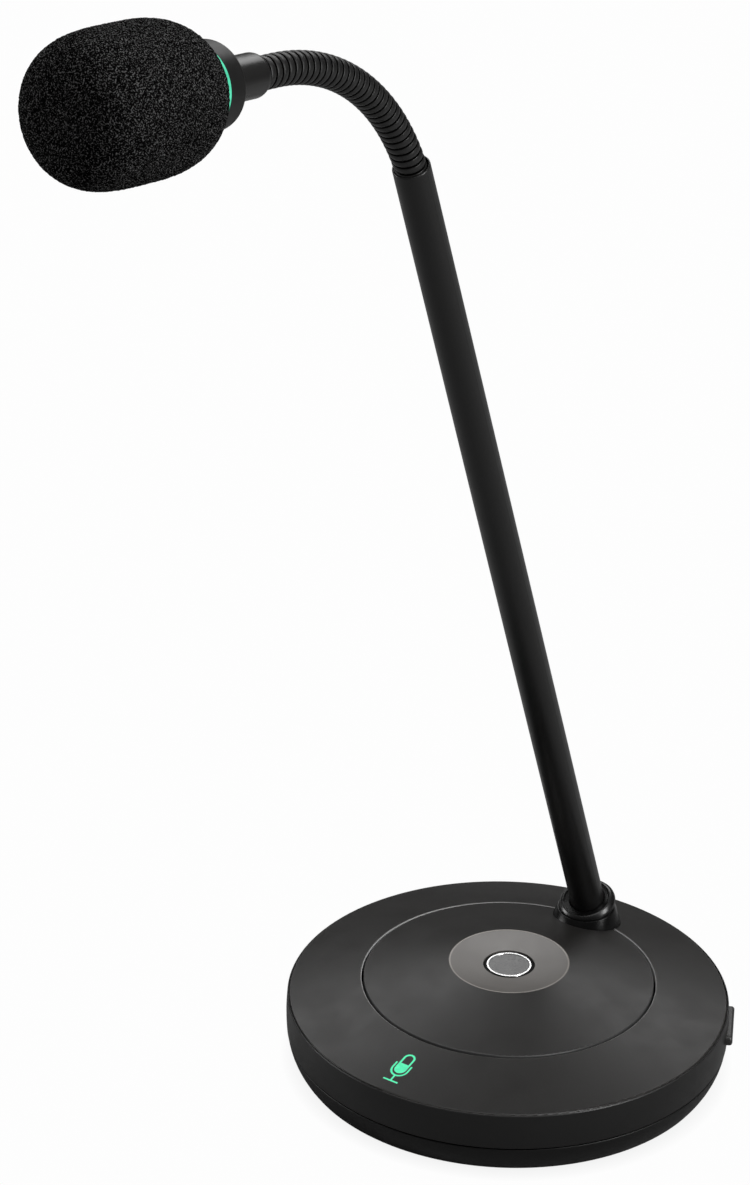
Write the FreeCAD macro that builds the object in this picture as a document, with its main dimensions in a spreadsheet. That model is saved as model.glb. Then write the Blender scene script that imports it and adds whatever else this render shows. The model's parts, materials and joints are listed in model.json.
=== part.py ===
import FreeCAD, Part
import math
import os

import Sketcher

# Desktop gooseneck microphone, in millimetres.
# Frame: origin on the desk under the middle of the base, +Z up.  The user sits at -Y,
# the stem rises from the back of the base (+Y) and leans over it towards the user.

SIZES = {
    # outside of the base
    "band_radius": 64.3,
    "band_edge_radius": 64.05,
    "band_bulge": 60.0,
    "band_bottom": 9.5,
    "band_top": 20.4,
    "band_inner_radius": 61.8,
    "band_chamfer": 0.2,
    "plate_gap": 0.22,
    "cover_top": 9.1,
    "cover_top_radius": 63.9,
    "cover_floor": 0.8,
    "cover_floor_radius": 60.5,
    "cover_curve": 16.0,
    "cover_wall": 2.0,
    "spigot_radius": 61.6,
    "spigot_top": 11.2,
    "foot_inner": 54.5,
    "foot_outer": 58.0,
    "foot_top": 1.55,
    "foot_edge": 0.4,
    "foot_play": 0.1,
    "screw_hole": 1.7,
    "screw_head": 3.0,
    "screw_head_depth": 1.2,
    "screw_play": 0.1,
    "cover_edge_round": 0.3,
    "cover_floor_round": 0.6,
    # domed top: one ring-shaped plate and the disc inside it
    "plate_radius": 63.55,
    "plate_edge_height": 20.7,
    "plate_seat": 18.95,
    "plate_edge_round": 0.45,
    "opening_chamfer": 0.3,
    "plate_lip_radius": 61.0,
    "opening_radius": 42.66,
    "opening_height": 25.9,
    "opening_lip_radius": 44.0,
    "opening_lip_bottom": 23.2,
    "skin": 1.8,
    "dome_curve": 900.0,
    "disc_radius": 42.0,
    "disc_edge_height": 26.05,
    "disc_edge_bottom": 23.4,
    "disc_lip_radius": 40.6,
    "dish_radius": 17.26,
    "dish_rim_height": 31.6,
    "dish_curve": 110.0,
    "dish_rim_width": 0.35,
    "dish_rim_round": 0.8,
    "disc_edge_round": 0.35,
    "recess_radius": 7.5,
    "recess_floor": 29.4,
    "recess_rim_height": 30.52,
    "disc_hub_radius": 9.2,
    "disc_hub_bottom": 27.9,
    "disc_travel": 1.0,
    # deck inside the band
    "deck_bottom": 17.2,
    "deck_top": 18.9,
    "boss_radius": 3.5,
    "boss_distance": 50.0,
    "boss_bottom": 2.9,
    "boss_bore": 1.25,
    "boss_bore_depth": 11.0,
    "guide_distance": 36.0,
    "guide_radius": 1.5,
    "guide_bore": 1.55,
    "guide_boss_radius": 3.5,
    "guide_boss_top": 22.0,
    "guide_bottom": 15.4,
    "clip_radius": 2.6,
    "clip_top": 17.15,
    "clip_thickness": 0.6,
    "spring_radius": 2.3,
    "spring_wire": 0.25,
    "spring_length": 2.0,
    "plate_screw_distance": 58.0,
    "plate_boss_radius": 2.5,
    "plate_screw_radius": 1.1,
    "plate_screw_hole": 1.4,
    "plate_boss_height": 2.2,
    "plate_bore_depth": 2.0,
    "cable_hole": 4.0,
    "socket_clearance": 0.3,
    # boards and weight
    "ballast_radius": 45.5,
    "ballast_bottom": 2.9,
    "ballast_thickness": 6.0,
    "ballast_screw_distance": 22.0,
    "screw_bite": 1.3,
    "post_distance": 38.0,
    "post_radius": 2.5,
    "post_hole": 3.2,
    "post_bore": 1.0,
    "post_floor": 1.0,
    "board_radius": 46.0,
    "board_bottom": 11.4,
    "board_thickness": 1.6,
    "board_tongue": 56.0,
    "board_tongue_width": 14.0,
    "stem_notch": 10.5,
    "switch_board_inner": 12.0,
    "switch_board_outer": 31.0,
    "switch_board_bottom": 18.95,
    "switch_board_thickness": 1.2,
    "switch_distance": 25.0,
    "switch_width": 6.0,
    "switch_height": 3.5,
    "plunger_radius": 1.6,
    "plunger_height": 1.2,
    "pusher_radius": 2.2,
    "pusher_gap": 1.05,
    "switch_screw_hole": 1.1,
    "switch_screw_bore": 0.8,
    "switch_screw_distance": 16.0,
    # button in the right of the band
    "button_angle": 29.3,
    "button_height": 14.8,
    "button_length": 18.4,
    "button_thickness": 3.3,
    "button_stand_out": 1.35,
    "button_gap": 0.15,
    "button_round": 0.9,
    "button_flange": 1.5,
    "button_flange_length": 21.4,
    "button_flange_above": 1.9,
    "button_flange_below": 2.45,
    "button_stalk_width": 4.0,
    "button_stalk_height": 2.4,
    "button_flange_face": 60.8,
    "button_travel": 0.8,
    "button_switch_face": 55.4,
    "button_plunger_reach": 1.7,
    "button_plunger_radius": 1.1,
    "button_switch_thickness": 3.6,
    # socket in the back of the band
    "socket_angle": 122.0,
    "socket_width": 8.9,
    "socket_thickness": 3.2,
    "socket_depth": 7.4,
    "socket_face": 62.6,
    "socket_gap": 0.3,
    "socket_wall": 0.3,
    "socket_back": 1.0,
    "socket_tongue_width": 6.2,
    "socket_tongue_thickness": 0.7,
    "socket_setback": 1.5,
    # stem and the boot it stands in
    "stem_lean": 20.9,
    "stem_y": 44.2,
    "stem_z": 25.6,
    "stem_radius": 5.0,
    "stem_bore": 4.6,
    "stem_foot": 12.8,
    "stem_length": 302.4,
    "stem_socket_radius": 8.5,
    "stem_socket_bottom": 13.2,
    "stem_socket_height": 11.0,
    "stem_socket_bore": 5.04,
    "stem_lip": 0.35,
    "grub_distance": 10.6,
    "grub_radius": 1.48,
    "grub_length": 3.3,
    "grub_hole": 1.5,
    "grub_hole_length": 9.5,
    "grub_key": 0.75,
    "grub_key_depth": 1.4,
    "boot_shift": -0.4,
    "boot_spigot": 6.8,
    "boot_spigot_bore": 7.0,
    "boot_spigot_bottom": 7.9,
    "boot_hole": 7.2,
    "boot_disc_hole": 7.8,
    "boot_foot_radius": 10.1,
    "boot_foot_y": 41.8,
    "boot_foot_z": 25.7,
    "boot_foot_lean": 14.0,
    "boot_top_radius": 7.95,
    "boot_top": 8.4,
    "boot_ledge_radius": 6.7,
    "boot_ledge_depth": 0.9,
    "boot_round": 0.6,
    "boot_gap": 0.12,
    "boot_bore_play": 0.05,
    # gooseneck
    "neck_radius": 4.15,
    "neck_bend_radius": 78.1,
    "neck_bend_angle": 60.5,
    "neck_inside": 9.1,
    "neck_lead": 2.2,
    "neck_straight": 7.7,
    "neck_joints": 14,
    "ball_radius": 3.3,
    "ball_clearance": 0.06,
    "neck_shoulder": 4.3,
    "neck_bore": 1.1,
    "neck_edge": 0.4,
    "root_length": 18.0,
    "root_radius": 4.0,
    # head, measured along its axis from the end of the bend
    "collar_radius": 5.6,
    "collar_rear_radius": 4.6,
    "collar_round": 2.6,
    "collar_shoulder": 2.1,
    "collar_bore": 4.2,
    "collar_end": 25.6,
    "shell_radius": 11.0,
    "shell_end": 32.0,
    "shell_round": 1.2,
    "shell_wall": 1.2,
    "light_end": 34.3,
    "light_radius": 10.95,
    "light_edge": 0.3,
    "light_root": 2.0,
    "head_play": 0.03,
    "wire_hole": 2.0,
    "basket_radius": 9.0,
    "basket_wall": 0.8,
    "basket_end": 71.0,
    "basket_spigot": 3.0,
    "slot_width": 2.6,
    "slot_length": 19.0,
    "slot_start": 41.0,
    "slot_count": 12,
    "nose_round": 3.0,
    "nose_hole": 0.7,
    "nose_small_ring": 2.6,
    "nose_large_ring": 5.0,
    "capsule_radius": 6.8,
    "capsule_start": 55.0,
    "capsule_length": 8.0,
    "capsule_step": 0.6,
    "head_board_radius": 7.8,
    "head_board_start": 36.0,
    "head_board_thickness": 1.0,
    # foam windscreen
    "foam_radius": 18.85,
    "foam_rear": 33.35,
    "foam_middle": 55.85,
    "foam_front": 81.0,
    "foam_rear_squareness": 2.9,
    "foam_front_squareness": 4.3,
    "foam_bore": 9.25,
    "foam_bore_end": 71.6,
    # emblem
    "emblem_radius": 7.4,
    "emblem_thickness": 0.8,
    "emblem_ring_outer": 6.55,
    "emblem_ring_inner": 5.9,
    "emblem_ring_height": 0.25,
    "emblem_ring_depth": 0.4,
    "emblem_ring_edge": 0.1,
    "emblem_ring_play": 0.02,
    "emblem_edge": 0.2,
    # lit sign in the front of the ring plate
    "symbol_foot": 59.45,
    "symbol_gap": 0.05,
    "symbol_stroke": 0.5,
    "symbol_foot_half": 2.4,
    "symbol_stalk": 2.25,
    "symbol_yoke": 2.5,
    "symbol_yoke_top": 6.9,
    "symbol_capsule_half": 1.8,
    "symbol_capsule_stroke": 0.55,
    "symbol_capsule_bottom": 3.2,
    "symbol_capsule_top": 10.95,
    "symbol_fill_top": 7.0,
    "symbol_slab_half": 5.6,
    "symbol_slab_thickness": 0.8,
    "symbol_slab_front": 1.2,
    "symbol_slab_back": 12.4,
    "symbol_board_width": 18.0,
    "symbol_board_depth": 7.0,
    "symbol_board_distance": 49.0,
    "symbol_board_thickness": 1.0,
}

doc = FreeCAD.newDocument("DesktopMicrophone")
sheet = doc.addObject("Spreadsheet::Sheet", "Sizes")
for row, (alias, number) in enumerate(SIZES.items(), start=1):
    sheet.set("A%d" % row, alias)
    sheet.set("B%d" % row, str(number))
    sheet.setAlias("B%d" % row, alias)
doc.recompute()


class Size:
    """A length held both as a number and as the formula that ties it to the sheet."""

    def __init__(self, number, text):
        self.number = number
        self.text = text

    def joined(self, other, sign, number):
        return Size(number, "(%s %s %s)" % (self.text, sign, as_size(other).text))

    def __add__(self, other):
        return self.joined(other, "+", self.number + as_size(other).number)

    def __sub__(self, other):
        return self.joined(other, "-", self.number - as_size(other).number)

    def __mul__(self, other):
        return self.joined(other, "*", self.number * as_size(other).number)

    def __truediv__(self, other):
        return self.joined(other, "/", self.number / as_size(other).number)

    def __rsub__(self, other):
        return as_size(other) - self

    def __neg__(self):
        return as_size(0) - self

    def turned(self, degrees, wave):
        """This length times the cosine or sine of an angle given as a Size."""
        angle = as_size(degrees)
        factor = getattr(math, wave)(math.radians(angle.number))
        return Size(self.number * factor, "(%s * %s(%s))" % (self.text, wave, angle.text))


def as_size(value):
    return value if isinstance(value, Size) else Size(float(value), repr(float(value)))


class Sheet:
    """Gives every cell of the sheet as an attribute."""

    def __getattr__(self, alias):
        return Size(float(sheet.get(alias)), "Sizes." + alias)


size = Sheet()
parts = []


# ---------------------------------------------------------------- small tools


def drive(thing, name, value):
    """Tie one property of an object to the sheet."""
    thing.setExpression(name, as_size(value).text)


def new_body(label):
    body = doc.addObject("PartDesign::Body", label)
    body.Label = label
    parts.append(body)
    return body


def keep(thing, label):
    """Name a finished boolean or primitive as one of the parts."""
    thing.Label = label
    parts.append(thing)
    return thing


def plane_of(body, role):
    return next(f for f in body.Origin.OriginFeatures if f.Role == role)


def sketch_on(body, role, height=0, lean=0, y=0, normal_shift=0):
    """A sketch on one of the body's planes, moved up, along Y, leant about X and shifted along its normal."""
    sketch = body.newObject("Sketcher::SketchObject", body.Name + "_sketch")
    sketch.AttachmentSupport = [(plane_of(body, role), "")]
    sketch.MapMode = "FlatFace"
    height, y, lean, shift = as_size(height), as_size(y), as_size(lean), as_size(normal_shift)
    rotation = FreeCAD.Rotation(FreeCAD.Vector(1, 0, 0), lean.number)
    base = FreeCAD.Vector(0, y.number, height.number)
    sketch.AttachmentOffset = FreeCAD.Placement(base, rotation)
    along_y = y - shift.turned(lean, "sin")
    along_z = height + shift.turned(lean, "cos")
    drive(sketch, "AttachmentOffset.Base.y", along_y)
    drive(sketch, "AttachmentOffset.Base.z", along_z)
    return sketch


def vector(point):
    return FreeCAD.Vector(as_size(point[0]).number, as_size(point[1]).number, 0)


def arc_between(start, end, radius):
    """The arc from start to end; a positive radius bulges to the right of the way."""
    chord = end - start
    left = FreeCAD.Vector(-chord.y, chord.x, 0).normalize()
    height = math.sqrt(radius ** 2 - (chord.Length / 2) ** 2)
    side = 1 if radius > 0 else -1
    centre = (start + end) * 0.5 + left * height * side
    crown = centre - left * abs(radius) * side
    return Part.Arc(start, crown, end)


def end_near(sketch, index, point):
    """Which end of a piece of a sketch, 1 or 2, lies at the point."""
    return 1 if sketch.getPoint(index, 1).distanceToPoint(point) < 1e-6 else 2


def constrain(sketch, kind, *where, value):
    value = as_size(value)
    index = sketch.addConstraint(Sketcher.Constraint(kind, *where, value.number))
    drive(sketch, "Constraints[%d]" % index, value)


def outline(sketch, corners):
    """Close an outline through the corners.

    A corner is (x, y), or (x, y, radius) where the piece that leaves it is an arc.
    """
    points = [vector(corner) for corner in corners]
    first = sketch.GeometryCount
    for number, corner in enumerate(corners):
        start, end = points[number], points[(number + 1) % len(points)]
        if len(corner) == 3:
            piece = arc_between(start, end, as_size(corner[2]).number)
        else:
            piece = Part.LineSegment(start, end)
        sketch.addGeometry(piece, False)
    for number, corner in enumerate(corners):
        this, before = first + number, first + (number - 1) % len(corners)
        here = end_near(sketch, this, points[number])
        there = end_near(sketch, before, points[number])
        sketch.addConstraint(Sketcher.Constraint("Coincident", before, there, this, here))
        constrain(sketch, "DistanceX", -1, 1, this, here, value=corner[0])
        constrain(sketch, "DistanceY", -1, 1, this, here, value=corner[1])
        if len(corner) == 3:
            radius = as_size(corner[2])
            constrain(sketch, "Radius", this, value=radius if radius.number > 0 else -radius)
    return sketch


def circle(sketch, radius, x=0, y=0):
    ring = Part.Circle(vector((x, y)), FreeCAD.Vector(0, 0, 1), as_size(radius).number)
    index = sketch.addGeometry(ring, False)
    constrain(sketch, "DistanceX", -1, 1, index, 3, value=x)
    constrain(sketch, "DistanceY", -1, 1, index, 3, value=y)
    constrain(sketch, "Radius", index, value=radius)


def rectangle(sketch, left, bottom, right, top):
    outline(sketch, [(left, bottom), (right, bottom), (right, top), (left, top)])


def around(distance, angle):
    """The point at a distance from the middle, at an angle from +X."""
    distance = as_size(distance)
    return distance.turned(angle, "cos"), distance.turned(angle, "sin")


def circles(sketch, radius, distance, angles):
    for angle in angles:
        x, y = around(distance, angle)
        circle(sketch, radius, x, y)


def turn(body, corners):
    """Revolve an outline drawn as (distance from the axis, height)."""
    sketch = outline(sketch_on(body, "XZ_Plane"), corners)
    feature = body.newObject("PartDesign::Revolution", body.Name + "_turned")
    feature.Profile = sketch
    feature.ReferenceAxis = (sketch, ["V_Axis"])
    feature.Angle = 360
    doc.recompute()
    return feature


def groove(body, corners):
    """Cut a revolved outline out of the body."""
    sketch = outline(sketch_on(body, "XZ_Plane"), corners)
    feature = body.newObject("PartDesign::Groove", body.Name + "_groove")
    feature.Profile = sketch
    feature.ReferenceAxis = (sketch, ["V_Axis"])
    feature.Angle = 360
    doc.recompute()
    return feature


def pad(body, sketch, length):
    feature = body.newObject("PartDesign::Pad", body.Name + "_pad")
    feature.Profile = sketch
    drive(feature, "Length", length)
    doc.recompute()
    return feature


def pocket(body, sketch, length=None, down=True):
    """Cut a sketch out of the body, right through it or to a depth on one side."""
    before = body.Shape.Volume
    feature = body.newObject("PartDesign::Pocket", body.Name + "_pocket")
    feature.Profile = sketch
    if length is None:
        feature.Type = "ThroughAll"
        feature.Midplane = True
    else:
        drive(feature, "Length", length)
        feature.Reversed = not down
    doc.recompute()
    if body.Shape.Volume > before - 1e-3:
        raise ValueError("%s: a pocket cut nothing" % body.Label)
    return feature


def edges_where(feature, test):
    """Names of the feature's edges whose middle point passes the test."""
    names = []
    for number, edge in enumerate(feature.Shape.Edges, start=1):
        middle = edge.valueAt((edge.FirstParameter + edge.LastParameter) / 2)
        if test(middle, edge):
            names.append("Edge%d" % number)
    return names


def round_over(body, radius, test, kind="Fillet"):
    base = body.Tip
    names = edges_where(base, test)
    if not names:
        raise ValueError("%s: no edge to round" % body.Label)
    feature = body.newObject("PartDesign::" + kind, body.Name + "_round")
    feature.Base = (base, names)
    drive(feature, "Radius" if kind == "Fillet" else "Size", radius)
    doc.recompute()
    return feature


def from_axis(point):
    return math.hypot(point.x, point.y)


def is_ring_at(radius, height):
    """A test for the full-circle edge of one radius at one height."""
    radius, height = as_size(radius).number, as_size(height).number

    def test(middle, edge):
        return abs(from_axis(middle) - radius) < 0.02 and abs(middle.z - height) < 0.02

    return test


def cylinder(name, radius, height, base, direction=(0, 0, 1)):
    """A cylinder driven by the sheet; base and direction are plain numbers."""
    tool = doc.addObject("Part::Cylinder", name)
    drive(tool, "Radius", radius)
    drive(tool, "Height", height)
    tool.Placement = FreeCAD.Placement(
        FreeCAD.Vector(*base), FreeCAD.Rotation(FreeCAD.Vector(0, 0, 1), FreeCAD.Vector(*direction))
    )
    return tool


def fused(name, tools):
    result = doc.addObject("Part::MultiFuse", name)
    result.Shapes = tools
    return result


def cut(name, base, tool):
    result = doc.addObject("Part::Cut", name)
    result.Base = base
    result.Tool = tool
    return result


def group(label, tools):
    """One part made of several separate solids."""
    part = doc.addObject("Part::Compound", label)
    part.Links = tools
    return keep(part, label)


# ---------------------------------------------------------------- shared geometry

PLATE_SLOPE = (size.opening_height - size.plate_edge_height) / (size.plate_radius - size.opening_radius)
DISC_SLOPE = (size.dish_rim_height - size.disc_edge_height) / (size.disc_radius - size.dish_radius)
BOSS_ANGLES = [52, 142, 232, 322]
PLATE_SCREW_ANGLES = [45, 135, 225, 315]
GUIDE_ANGLES = [30, 150, 270]
SWITCH_ANGLES = [90, 210, 330]
POST_ANGLES = [0, 65, 180, 270]
BALLAST_SCREW_ANGLES = [30, 150, 270]
SWITCH_SCREW_ANGLES = [60, 180, 300]
FRONT_ANGLE = 270
# left between two parts that lie against each other
TOUCH_GAP = 0.02
# an arc of just over half its chord is a half circle to within a micron
NEARLY_ROUND = 1.0001
# how far one solid of a part reaches into the next, so that they join
MERGE = 0.5
STEM_DIRECTION = FreeCAD.Vector(
    0, -math.sin(math.radians(size.stem_lean.number)), math.cos(math.radians(size.stem_lean.number))
)


def plate_height(distance):
    """Height of the ring plate's top face at a distance from the middle."""
    return size.plate_edge_height + (size.plate_radius - distance) * PLATE_SLOPE


def disc_height(distance):
    """Height of the mute disc's top face at a distance from the middle."""
    return size.disc_edge_height + (size.disc_radius - distance) * DISC_SLOPE


def stem_placement(distance, shift=0.0):
    """A frame whose +Z runs up the stem, at a distance along it from the point where it leaves the top."""
    back = FreeCAD.Vector(0, STEM_DIRECTION.z, -STEM_DIRECTION.y)
    leaves_top = FreeCAD.Vector(0, size.stem_y.number, size.stem_z.number)
    base = leaves_top + STEM_DIRECTION * distance + back * shift
    return FreeCAD.Placement(base, FreeCAD.Rotation(FreeCAD.Vector(1, 0, 0), size.stem_lean.number))


def leant_circle(body, radius, distance, shift=0):
    """A sketch with one circle, square to the stem, at a distance along it."""
    shift = as_size(shift)
    base_y = size.stem_y + shift.turned(size.stem_lean, "cos")
    base_z = size.stem_z + shift.turned(size.stem_lean, "sin")
    sketch = sketch_on(body, "XY_Plane", base_z, size.stem_lean, base_y, normal_shift=distance)
    circle(sketch, radius)
    return sketch


# ---------------------------------------------------------------- base


def bottom_cover():
    """Tray with a curved wall, a spigot that centres the band, board posts and screw holes."""
    body = new_body("bottom_cover")
    inner = size.cover_floor + size.cover_wall
    wall_inner = size.spigot_radius - size.cover_wall
    turn(body, [
        (0, size.cover_floor),
        (size.cover_floor_radius, size.cover_floor, size.cover_curve),
        (size.cover_top_radius, size.cover_top),
        (size.spigot_radius, size.cover_top),
        (size.spigot_radius, size.spigot_top),
        (wall_inner, size.spigot_top),
        (wall_inner, size.cover_top),
        (size.cover_floor_radius - size.cover_wall, inner),
        (0, inner),
    ])
    # the rubber ring sits in a shallow channel
    channel_inner = size.foot_inner - size.foot_play
    channel_outer = size.foot_outer + size.foot_play
    groove(body, [
        (channel_inner, 0),
        (channel_outer, 0),
        (channel_outer, size.foot_top),
        (channel_inner, size.foot_top),
    ])
    posts = sketch_on(body, "XY_Plane", inner)
    circles(posts, size.post_radius, size.post_distance, POST_ANGLES)
    pad(body, posts, size.board_bottom - inner)
    bores = sketch_on(body, "XY_Plane", size.board_bottom)
    circles(bores, size.post_bore, size.post_distance, POST_ANGLES)
    pocket(body, bores, size.board_bottom - inner - size.post_floor)
    holes = sketch_on(body, "XY_Plane")
    circles(holes, size.screw_hole, size.boss_distance, BOSS_ANGLES)
    circles(holes, size.screw_hole, size.ballast_screw_distance, BALLAST_SCREW_ANGLES)
    pocket(body, holes)
    heads = sketch_on(body, "XY_Plane", size.cover_floor)
    circles(heads, size.screw_head + size.screw_play, size.boss_distance, BOSS_ANGLES)
    circles(heads, size.screw_head + size.screw_play, size.ballast_screw_distance, BALLAST_SCREW_ANGLES)
    pocket(body, heads, size.screw_head_depth, down=False)
    round_over(body, size.cover_floor_round, is_ring_at(size.cover_floor_radius, size.cover_floor))
    round_over(body, size.cover_edge_round, is_ring_at(size.cover_top_radius, size.cover_top))


def foot_ring():
    """Rubber ring the base stands on."""
    body = new_body("foot_ring")
    top = size.foot_top - TOUCH_GAP
    turn(body, [
        (size.foot_inner, size.foot_edge),
        (size.foot_inner + size.foot_edge, 0),
        (size.foot_outer - size.foot_edge, 0),
        (size.foot_outer, size.foot_edge),
        (size.foot_outer, top),
        (size.foot_inner, top),
    ])


def base_housing():
    """Side band with the deck across it, screw bosses, guide bosses and the stem's socket."""
    body = new_body("base_housing")
    turn(body, [
        (0, size.deck_bottom),
        (size.band_inner_radius, size.deck_bottom),
        (size.band_inner_radius, size.band_bottom),
        (size.band_edge_radius - size.band_chamfer, size.band_bottom),
        (size.band_edge_radius, size.band_bottom + size.band_chamfer, size.band_bulge),
        (size.band_edge_radius, size.band_top - size.band_chamfer),
        (size.band_edge_radius - size.band_chamfer, size.band_top),
        (size.plate_radius + size.plate_gap, size.band_top),
        (size.plate_radius + size.plate_gap, size.deck_top),
        (0, size.deck_top),
    ])
    bosses = sketch_on(body, "XY_Plane", size.boss_bottom)
    circles(bosses, size.boss_radius, size.boss_distance, BOSS_ANGLES)
    pad(body, bosses, size.deck_bottom - size.boss_bottom + MERGE)
    boss_bores = sketch_on(body, "XY_Plane", size.boss_bottom)
    circles(boss_bores, size.boss_bore, size.boss_distance, BOSS_ANGLES)
    pocket(body, boss_bores, size.boss_bore_depth, down=False)
    guides = sketch_on(body, "XY_Plane", size.deck_top)
    circles(guides, size.guide_boss_radius, size.guide_distance, GUIDE_ANGLES)
    pad(body, guides, size.guide_boss_top - size.deck_top)
    holes = sketch_on(body, "XY_Plane")
    circles(holes, size.guide_bore, size.guide_distance, GUIDE_ANGLES)
    circles(holes, size.plate_screw_hole, size.plate_screw_distance, PLATE_SCREW_ANGLES)
    circles(holes, size.switch_screw_bore, size.switch_screw_distance, SWITCH_SCREW_ANGLES)
    circle(holes, size.cable_hole)
    pocket(body, holes)
    # the stem's socket leans with the stem and stops below the ring plate
    pad(body, leant_circle(body, size.stem_socket_radius, -size.stem_socket_bottom), size.stem_socket_height)
    clear = size.skin + size.socket_clearance
    beyond_lip = size.opening_lip_radius + 1
    high = size.stem_z + size.stem_socket_height
    groove(body, [
        (size.switch_board_outer, size.guide_boss_top + 0.1),
        (size.opening_lip_radius, size.opening_lip_bottom - size.disc_travel),
        (beyond_lip, plate_height(beyond_lip) - clear),
        (size.band_inner_radius, plate_height(size.band_inner_radius) - clear),
        (size.band_inner_radius, high),
        (size.switch_board_outer, high),
    ])
    pocket(body, leant_circle(body, size.stem_socket_bore, 0))
    seat = leant_circle(body, size.boot_spigot_bore, -size.boot_spigot_bottom - 0.1, size.boot_shift)
    pocket(body, seat, size.stem_socket_height, down=False)
    pocket(body, screw_sketch(body, size.grub_hole), size.grub_hole_length, down=False)
    window(body, size.button_angle, size.button_length, size.button_thickness,
           size.button_height, size.button_gap)
    socket_height = size.board_bottom + size.board_thickness + size.socket_thickness / 2
    window(body, size.socket_angle, size.socket_width, size.socket_thickness,
           socket_height, size.socket_gap)


def window(body, angle, length, thickness, height, gap):
    """Cut a round-ended slot through the band at an angle from +X."""
    sketch = body.newObject("Sketcher::SketchObject", body.Name + "_window")
    sketch.AttachmentSupport = [(plane_of(body, "YZ_Plane"), "")]
    sketch.MapMode = "FlatFace"
    # the YZ plane turned about the upright axis; the sketch's own Y is the height
    sketch.AttachmentOffset = FreeCAD.Placement(
        FreeCAD.Vector(0, 0, 0), FreeCAD.Rotation(FreeCAD.Vector(0, 1, 0), as_size(angle).number)
    )
    half = length / 2 + gap
    rise = thickness / 2 + gap
    straight = half - rise
    outline(sketch, [
        (-straight, height - rise),
        (straight, height - rise, rise * NEARLY_ROUND),
        (straight, height + rise),
        (-straight, height + rise, rise * NEARLY_ROUND),
    ])
    pocket(body, sketch, size.band_radius + 1, down=False)


def top_ring_plate():
    """Ring-shaped plate of the domed top, with the boot's hole, the symbol windows and four bosses."""
    body = new_body("top_ring_plate")
    lip = size.opening_lip_radius
    edge, chamfer = size.plate_edge_round, size.opening_chamfer
    turn(body, [
        (size.plate_lip_radius, size.plate_seat),
        (size.plate_radius, size.plate_seat),
        (size.plate_radius, size.plate_edge_height - edge, edge),
        (size.plate_radius - edge, plate_height(size.plate_radius - edge), size.dome_curve),
        (size.opening_radius + chamfer, plate_height(size.opening_radius + chamfer)),
        (size.opening_radius, size.opening_height - chamfer),
        (size.opening_radius, size.opening_lip_bottom),
        (lip, size.opening_lip_bottom),
        (lip, plate_height(lip) - size.skin, -size.dome_curve),
        (size.plate_lip_radius, plate_height(size.plate_lip_radius) - size.skin),
    ])
    bosses = sketch_on(body, "XY_Plane", size.plate_seat)
    circles(bosses, size.plate_boss_radius, size.plate_screw_distance, PLATE_SCREW_ANGLES)
    pad(body, bosses, size.plate_boss_height)
    bores = sketch_on(body, "XY_Plane", size.plate_seat)
    circles(bores, size.plate_screw_radius, size.plate_screw_distance, PLATE_SCREW_ANGLES)
    pocket(body, bores, size.plate_bore_depth, down=False)
    pocket(body, leant_circle(body, size.boot_hole, 0, size.boot_shift))
    windows = sketch_on(body, "XY_Plane", size.opening_height)
    draw_capsule(windows, size.symbol_gap)
    draw_yoke(windows, size.symbol_gap)
    pocket(body, windows, size.opening_height - size.plate_seat)


def symbol_point(across, along):
    """A point of the sign: along runs from its foot towards the middle of the base."""
    return as_size(across), as_size(along) - size.symbol_foot


def draw_piece(sketch, corners):
    outline(sketch, [symbol_point(*corner[:2]) + tuple(corner[2:]) for corner in corners])


def draw_capsule(sketch, grow):
    """The sign's capsule, a round-ended bar."""
    half = size.symbol_capsule_half + grow
    bottom = size.symbol_capsule_bottom + size.symbol_capsule_half
    top = size.symbol_capsule_top - size.symbol_capsule_half
    draw_piece(sketch, [
        (half, top, half * NEARLY_ROUND),
        (-half, top),
        (-half, bottom, half * NEARLY_ROUND),
        (half, bottom),
    ])


def draw_yoke(sketch, grow):
    """The sign's yoke, stalk and foot as one outline."""
    stroke = size.symbol_stroke / 2 + grow
    outer, inner = size.symbol_yoke + stroke, size.symbol_yoke - stroke
    middle = size.symbol_stalk + size.symbol_yoke
    tip = size.symbol_yoke_top + grow
    foot = size.symbol_foot_half + grow
    # where the stalk meets the round of the yoke
    root = middle - math.sqrt(outer.number ** 2 - stroke.number ** 2)
    draw_piece(sketch, [
        (outer, tip),
        (inner, tip),
        (inner, middle, -inner * NEARLY_ROUND),
        (-inner, middle),
        (-inner, tip),
        (-outer, tip),
        (-outer, middle, outer),
        (-stroke, root),
        (-stroke, stroke),
        (-foot, stroke),
        (-foot, -stroke),
        (foot, -stroke),
        (foot, stroke),
        (stroke, stroke),
        (stroke, root, outer),
        (outer, middle),
    ])


def draw_mask(sketch, shrink):
    """The dark upper window of the sign's capsule."""
    half = size.symbol_capsule_half - size.symbol_capsule_stroke - shrink
    top = size.symbol_capsule_top - size.symbol_capsule_half
    draw_piece(sketch, [
        (half, top, half * NEARLY_ROUND),
        (-half, top),
        (-half, size.symbol_fill_top + shrink),
        (half, size.symbol_fill_top + shrink),
    ])


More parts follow.
